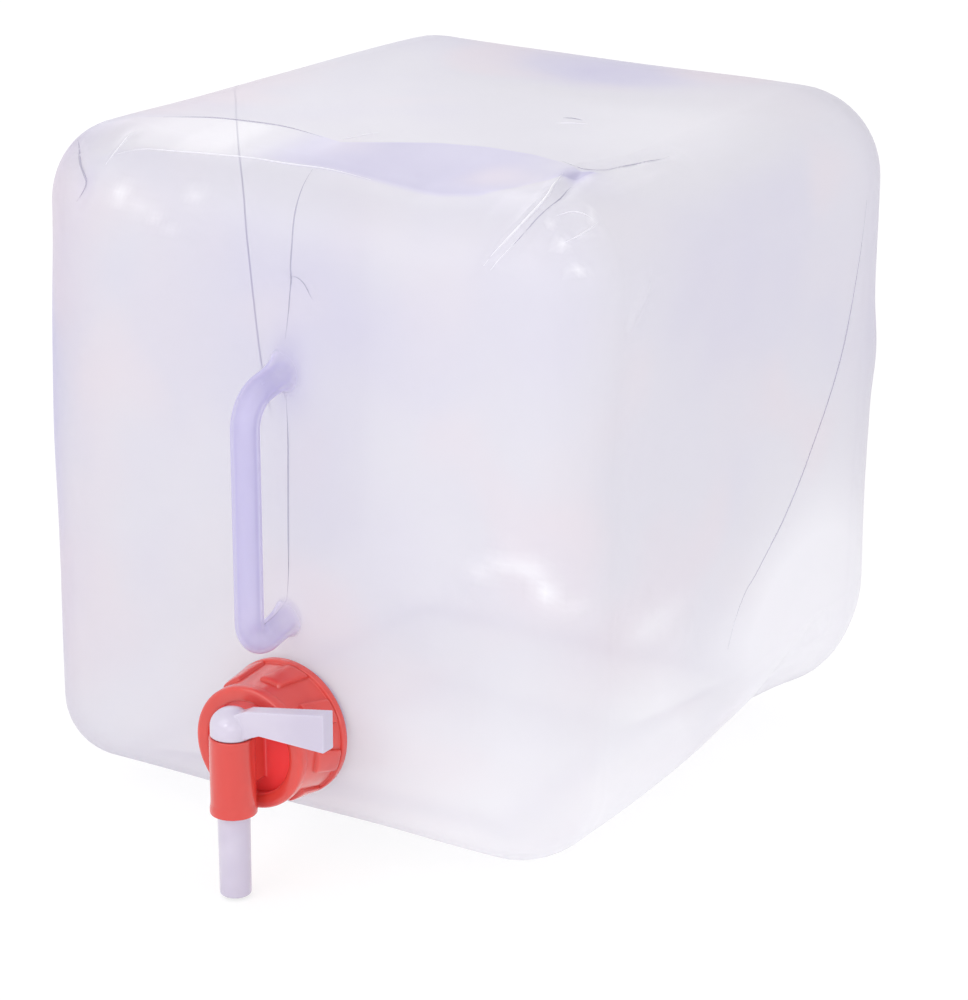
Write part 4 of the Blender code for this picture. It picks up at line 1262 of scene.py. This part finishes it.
# %% Threads
THREAD_PITCH = 4 * MM
THREAD_TURNS = 2.5
THREAD_SIZE = 0.75 * MM
THREAD_SIDES = 10
THREAD_STEPS = 48
THREAD_START = FRONT_PANEL - 9.5 * MM


def build_thread_tree():
    """A spiral round Z, swept with a round profile."""
    inputs = dict.fromkeys(("Turns", "Radius", "Climb", "Profile radius"), "Float")
    tree, entry = new_tree("screw_thread", inputs, "Thread")
    values = {
        "Resolution": THREAD_STEPS,
        "Rotations": entry["Turns"],
        "Start Radius": entry["Radius"],
        "End Radius": entry["Radius"],
        "Height": entry["Climb"],
    }
    spiral = add_node(tree, "GeometryNodeCurveSpiral", values)["Curve"]
    return end_tree(tree, entry, sweep_round(tree, spiral, entry["Profile radius"], THREAD_SIDES))


def add_thread(name, radius, back, material, body):
    values = {"Turns": THREAD_TURNS, "Radius": radius, "Climb": THREAD_TURNS * THREAD_PITCH}
    values |= {"Profile radius": THREAD_SIZE, "Finish": material}
    mesh = run_tree(place_object(name, bpy.data.meshes.new(name)), thread_tree, values)
    mesh.transform(about_neck(back))
    add_piece(name, mesh, material, body)


thread_tree = build_thread_tree()
add_thread("neck_thread", NECK_RADIUS, THREAD_START, grip_film, "bag")
add_thread("collar_thread", CAVITY_RADIUS, THREAD_START + THREAD_PITCH / 2, red_plastic, "collar")

# %% [markdown]
# ## Tap body and key
# These two are mouldings with soft edges everywhere, and bodies that run into each other: a barrel
# on a flange, a lever on a dome. They are cut and joined from simple shapes with Booleans, and then
# remeshed on a fine voxel grid and smoothed a little. That rounds each edge and fills each inner
# corner as a mould does, which separate bevels on crossing shapes would not.

# %% Solid tools
MOULD_VOXEL = 0.35 * MM
SOFTENING = 5


def rod(radius, length, place, facing, sides=64):
    return spin("rod", [(radius, 0), (radius, length)], place, facing, sides, closed=False)


def combine(base, others):
    """Join and cut meshes. others is a list of (operation, mesh)."""
    target = place_object("moulding", base)
    helpers = []
    for operation, mesh in others:
        helper = place_object("helper", mesh)
        change = target.modifiers.new(operation, "BOOLEAN")
        change.operation = operation
        change.solver = "EXACT"
        change.object = helper
        helpers.append(helper)
    return plain_result(target, helpers)


def soften(mesh):
    """Remesh a shape evenly and smooth it, which rounds its edges by about a voxel or two."""
    holder = place_object("soft", mesh)
    grid = holder.modifiers.new("Even grid", "REMESH")
    grid.mode = "VOXEL"
    grid.voxel_size = MOULD_VOXEL
    smooth = holder.modifiers.new("Soft edges", "SMOOTH")
    smooth.factor = 0.5
    smooth.iterations = SOFTENING
    return plain_result(holder)


# %% Tap body
body_low, body_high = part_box("tap_body")
FLANGE_RADIUS = (body_high.x - body_low.x) / 2
FLANGE_BACK = body_high.y
FLANGE_THICKNESS = 3 * MM
BARREL_FOOT = body_low.z
BARREL_TOP = 69.5 * MM
BARREL_BORE = 7.4 * MM
BARREL_FOOT_RADIUS = 9.6 * MM
BARREL_TOP_RADIUS = 9.2 * MM
BARREL_FLARE = 0.35 * MM
BARREL_DEPTH = body_low.y + BARREL_FOOT_RADIUS
BARREL_SIDES = 96
INLET_RADIUS = 5.4 * MM
INLET_BORE = 4 * MM
INLET_HEIGHT = 55.5 * MM
SADDLE_WIDTH = 11 * MM
SADDLE_HEIGHT = 21 * MM
INSIDE = 0.3 * MM
RECESS_START = 1.5 * MM
RECESS_FADE = 1 * MM
# Cutting tools stick out by this much, so that no faces lie on each other
OVERSHOOT = 4 * MM


def box_mesh(low, high):
    bm = bmesh.new()
    bmesh.ops.create_cube(bm, size=1)
    for vert in bm.verts:
        vert.co = [low[side] if vert.co[side] < 0 else high[side] for side in range(3)]
    return plain_mesh(bm, "box")


def make_tap_body():
    inlet_back = FLANGE_BACK - INSIDE
    barrel_length = BARREL_TOP - BARREL_FOOT
    saddle_top = BARREL_TOP - 0.8 * MM
    flange = rod(FLANGE_RADIUS, FLANGE_THICKNESS, (0, FLANGE_BACK, NECK_HEIGHT), FORWARD, FINE_SIDES)
    inlet = rod(INLET_RADIUS, inlet_back - BARREL_DEPTH, (0, inlet_back, INLET_HEIGHT), FORWARD)
    saddle = box_mesh(
        (-SADDLE_WIDTH / 2, BARREL_DEPTH, saddle_top - SADDLE_HEIGHT),
        (SADDLE_WIDTH / 2, inlet_back, saddle_top),
    )
    barrel_outline = [
        (BARREL_BORE - INSIDE * 2, 0),
        (BARREL_FOOT_RADIUS, 0),
        (BARREL_FOOT_RADIUS, 2.2 * MM),
        (BARREL_FOOT_RADIUS - BARREL_FLARE, 4.5 * MM),
        (BARREL_TOP_RADIUS, barrel_length),
        (BARREL_BORE - INSIDE * 2, barrel_length),
    ]
    barrel = spin("barrel", barrel_outline, (0, BARREL_DEPTH, BARREL_FOOT), UPWARD, BARREL_SIDES)
    bore_place = (0, BARREL_DEPTH, BARREL_FOOT - OVERSHOOT)
    bore = rod(BARREL_BORE, barrel_length + OVERSHOOT * 2, bore_place, UPWARD, BARREL_SIDES)
    water_start = FLANGE_BACK + OVERSHOOT
    water_way = rod(INLET_BORE, water_start - BARREL_DEPTH, (0, water_start, INLET_HEIGHT), FORWARD)
    steps = [("UNION", inlet), ("UNION", saddle), ("UNION", barrel)]
    steps += [("DIFFERENCE", bore), ("DIFFERENCE", water_way)]
    return soften(combine(flange, steps))


body_mesh = make_tap_body()
body_points = read_points(body_mesh)
# The painted light of the recess, a brighter red, starts a little ahead of the flange
behind = body_points[:, 1] - FLANGE_BACK + FLANGE_THICKNESS + RECESS_START
write_attribute(body_mesh, "recess_painted_light", np.clip(behind / RECESS_FADE, 0, 1))
add_piece("tap_barrel_and_flange", body_mesh, red_plastic, "tap", ("tap_body",), sharp=math.pi)

# %% Tap key
key_low, key_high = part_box("tap_key")
SPOUT_BORE = 4.8 * MM
SPOUT_RADIUS = 6.6 * MM
SPOUT_TIP_RADIUS = 6.4 * MM
SPOUT_FOOT = key_low.z
PLUG_RADIUS = 7.1 * MM
PLUG_FOOT = BARREL_FOOT + 2 * MM
HUB_BASE = BARREL_TOP + 0.3 * MM
HUB_RADIUS = 8.7 * MM
HUB_HEIGHT = 4 * MM
DOME_HEIGHT = 7.6 * MM
DOME_STEPS = 13
LEVER_LENGTH = key_high.x
LEVER_TIP_HEIGHT = key_high.z - HUB_BASE - HUB_HEIGHT
LEVER_ROOT_HEIGHT = 8.8 * MM
LEVER_ROOT_LENGTH = 15.6 * MM
LEVER_FLARE = 3 * MM
LEVER_THICKNESS = 7 * MM


def lever_mesh():
    """The lever's side view, given its thickness. It deepens towards its tip."""
    bottom = HUB_BASE + HUB_HEIGHT
    outline = [
        (0, bottom - LEVER_FLARE),
        (HUB_RADIUS, bottom - LEVER_FLARE),
        (LEVER_ROOT_LENGTH, bottom),
        (LEVER_LENGTH, bottom),
        (LEVER_LENGTH, bottom + LEVER_TIP_HEIGHT),
        (HUB_RADIUS, bottom + LEVER_ROOT_HEIGHT),
        (0, bottom + LEVER_ROOT_HEIGHT / 2),
    ]
    bm = bmesh.new()
    near = [bm.verts.new((x, BARREL_DEPTH - LEVER_THICKNESS / 2, z)) for x, z in outline]
    grown = bmesh.ops.extrude_face_region(bm, geom=[bm.faces.new(near)])
    moved = [part for part in grown["geom"] if isinstance(part, bmesh.types.BMVert)]
    bmesh.ops.translate(bm, verts=moved, vec=(0, LEVER_THICKNESS, 0))
    return plain_mesh(bm, "lever")


def make_key():
    dome_base = HUB_BASE + HUB_HEIGHT
    angles = np.arange(DOME_STEPS) / DOME_STEPS * math.pi / 2
    dome = [(HUB_RADIUS * math.cos(turn), dome_base + DOME_HEIGHT * math.sin(turn)) for turn in angles]
    outline = [
        (SPOUT_TIP_RADIUS - 0.5 * MM, SPOUT_FOOT),
        (SPOUT_TIP_RADIUS, SPOUT_FOOT + 0.5 * MM),
        (SPOUT_RADIUS, BARREL_FOOT),
        (SPOUT_RADIUS, PLUG_FOOT),
        (PLUG_RADIUS, PLUG_FOOT + 0.3 * MM),
        (PLUG_RADIUS, HUB_BASE),
        (HUB_RADIUS, HUB_BASE),
        *dome,
    ]
    body = spin("key", outline, (0, BARREL_DEPTH, 0), UPWARD, BARREL_SIDES, closed=False)
    bore_length = INLET_HEIGHT + INLET_BORE - SPOUT_FOOT + OVERSHOOT
    bore = rod(SPOUT_BORE, bore_length, (0, BARREL_DEPTH, SPOUT_FOOT - OVERSHOOT), UPWARD)
    port_place = (0, BARREL_DEPTH, INLET_HEIGHT)
    port = rod(INLET_BORE, PLUG_RADIUS + OVERSHOOT, port_place, Vector((-1, 0, 0)))
    return soften(combine(body, [("UNION", lever_mesh()), ("DIFFERENCE", bore), ("DIFFERENCE", port)]))


add_piece("tap_key_and_spout", make_key(), milky_plastic, "key", ("tap_key",), sharp=math.pi)

# %% [markdown]
# ## The handle
# The handle is a hollow tube of the same film, thick enough to hold its shape. Its middle line
# slopes out of the wall, bends down, runs straight and turns in again. At each root the tube opens
# in a soft fillet whose last ring is laid on the film, and an attribute lets its colour fade into
# the wall's there. A fine seam runs along its outer side, drawn by the same tree as the lines.

# %% Handle
HANDLE_TOP = 210.5 * MM
HANDLE_FOOT = 107.5 * MM
HANDLE_REACH = 32 * MM
HANDLE_RADIUS = 5.8 * MM
HANDLE_BORE = 4.3 * MM
GRIP_DEPTH = FRONT_PANEL - HANDLE_REACH
TOP_SLOPE = math.atan2(6 * MM, HANDLE_REACH)
FOOT_SLOPE = math.atan2(7 * MM, HANDLE_REACH)
WALL_SEARCH_START = -0.3
TOP_BEND = 15 * MM
FOOT_BEND = 10 * MM
TOP_FLARE = 6 * MM
FOOT_FLARE = 3.5 * MM
SIDE_FLARE_SHARE = 0.4
ROOT_LENGTH = 9 * MM
HANDLE_SIDES = 48
ROOT_RINGS = 14
FADE_SHARE = 0.45
SEAM_RADIUS = 0.22 * MM
SEAM_THIN_SHARE = 0.1
GRIP_LILAC = 0.7
ROOT_PALENESS = 0.15
PALE_START = 10 * MM
PALE_LENGTH = 8 * MM


def handle_middle():
    """The middle line between the roots, as (Y, Z) points from the top to the foot. Each bend's
    circle touches the grip's line and its arm's sloping line."""
    top_arm = HANDLE_TOP - (HANDLE_REACH - TOP_BEND) * math.tan(TOP_SLOPE)
    foot_arm = HANDLE_FOOT - (HANDLE_REACH - FOOT_BEND) * math.tan(FOOT_SLOPE)
    top_centre = (GRIP_DEPTH + TOP_BEND, top_arm - TOP_BEND / math.cos(TOP_SLOPE))
    foot_centre = (GRIP_DEPTH + FOOT_BEND, foot_arm + FOOT_BEND / math.cos(FOOT_SLOPE))
    top = arc(top_centre, TOP_BEND, 90 + math.degrees(TOP_SLOPE), 180, 16)
    foot = arc(foot_centre, FOOT_BEND, 180, 270 + math.degrees(FOOT_SLOPE), 14)
    straight = [(GRIP_DEPTH, z) for z in np.linspace(top[-1][1], foot[0][1], 24)[1:-1]]
    return top + straight + foot


def root_rings(height, slope, flare, radius):
    """Rings from the wall outwards: middle, way along, radius in the handle's plane and across it,
    how far the ring is laid on the film, and how far its colour has faded into the wall's."""
    along = Vector((0, -math.cos(slope), -math.sin(slope)))
    wall = skin_tree.ray_cast(Vector((0, WALL_SEARCH_START, height)), -FORWARD)[0].y
    start = Vector((0, wall, height - (FRONT_PANEL - wall) * math.tan(slope)))
    rings = []
    for number in range(ROOT_RINGS + 1):
        turn = math.pi / 2 * (1 - number / ROOT_RINGS)
        out = ROOT_LENGTH * (1 - math.sin(turn))
        wide = flare * (1 - math.cos(turn))
        radii = (radius + wide, radius + wide * SIDE_FLARE_SHARE)
        fade = np.clip(1 - number / ROOT_RINGS / FADE_SHARE, 0, 1)
        rings.append((start + along * out, along, radii, 1 - out / ROOT_LENGTH, fade))
    return rings


def handle_rings(radius, top_flare, foot_flare):
    """All rings of the outer or the inner skin, from the top root to the foot root."""
    rings = root_rings(HANDLE_TOP, TOP_SLOPE, top_flare, radius)
    middle = [Vector((0, y, z)) for y, z in handle_middle()]
    for number, centre in enumerate(middle):
        before = middle[max(number - 1, 0)]
        after = middle[min(number + 1, len(middle) - 1)]
        rings.append((centre, (after - before).normalized(), (radius, radius), 0, 0))
    for centre, along, *rest in reversed(root_rings(HANDLE_FOOT, FOOT_SLOPE, foot_flare, radius)):
        rings.append((centre, -along, *rest))
    return rings


def handle_surface(bm, rings):
    """Skin a row of rings. Near the wall a ring's points slide along its axis on to the film."""
    rows = []
    for centre, along, (tall, wide), laid, fade in rings:
        upright = Vector((0, -along.z, along.y))
        outward = along if along.y < 0 else -along
        row = []
        for x, y in unit_circle(HANDLE_SIDES):
            point = centre + Vector((wide * x, 0, 0)) + upright * y * tall
            if laid > 0:
                hit = skin_tree.ray_cast(point + outward * ROOT_LENGTH * 3, -outward)[0]
                if hit:
                    point = point.lerp(hit + outward * ON_FILM, laid**3)
            row.append(bm.verts.new(point))
        rows.append(row)
    join_rows(bm, rows)
    return rows


def make_handle():
    """The tube, the fade of each of its points, and the seam along its outer side."""
    bm = bmesh.new()
    outer_rings = handle_rings(HANDLE_RADIUS, TOP_FLARE, FOOT_FLARE)
    inner_rings = handle_rings(HANDLE_BORE, 0, 0)
    outer = handle_surface(bm, outer_rings)
    inner = handle_surface(bm, inner_rings)
    join_rows(bm, (outer[0], inner[0]))
    join_rows(bm, (outer[-1], inner[-1]))
    seam = [ring[HANDLE_SIDES // 4].co.copy() for ring in outer]
    fades = np.repeat([ring[-1] for ring in outer_rings + inner_rings], HANDLE_SIDES)
    return plain_mesh(bm, "handle"), fades, seam


handle_mesh, handle_fade, handle_seam = make_handle()
# The roots also turn paler than the grip, a little further out than they fade
root_reach = read_points(handle_mesh)[:, 1] - FRONT_PANEL + PALE_START
root_reach = np.clip(root_reach / PALE_LENGTH, 0, 1)
write_attribute(handle_mesh, "lilac", GRIP_LILAC * (1 - root_reach))
write_attribute(handle_mesh, "pale_and_painted_highlight", ROOT_PALENESS * root_reach)
write_attribute(handle_mesh, "fade", handle_fade**2 * (3 - 2 * handle_fade))
add_piece("handle_tube", handle_mesh, grip_film, "bag", ("carry_handle",))
draw_line("handle_seam", handle_seam, SEAM_RADIUS, SEAM_THIN_SHARE, line_film)
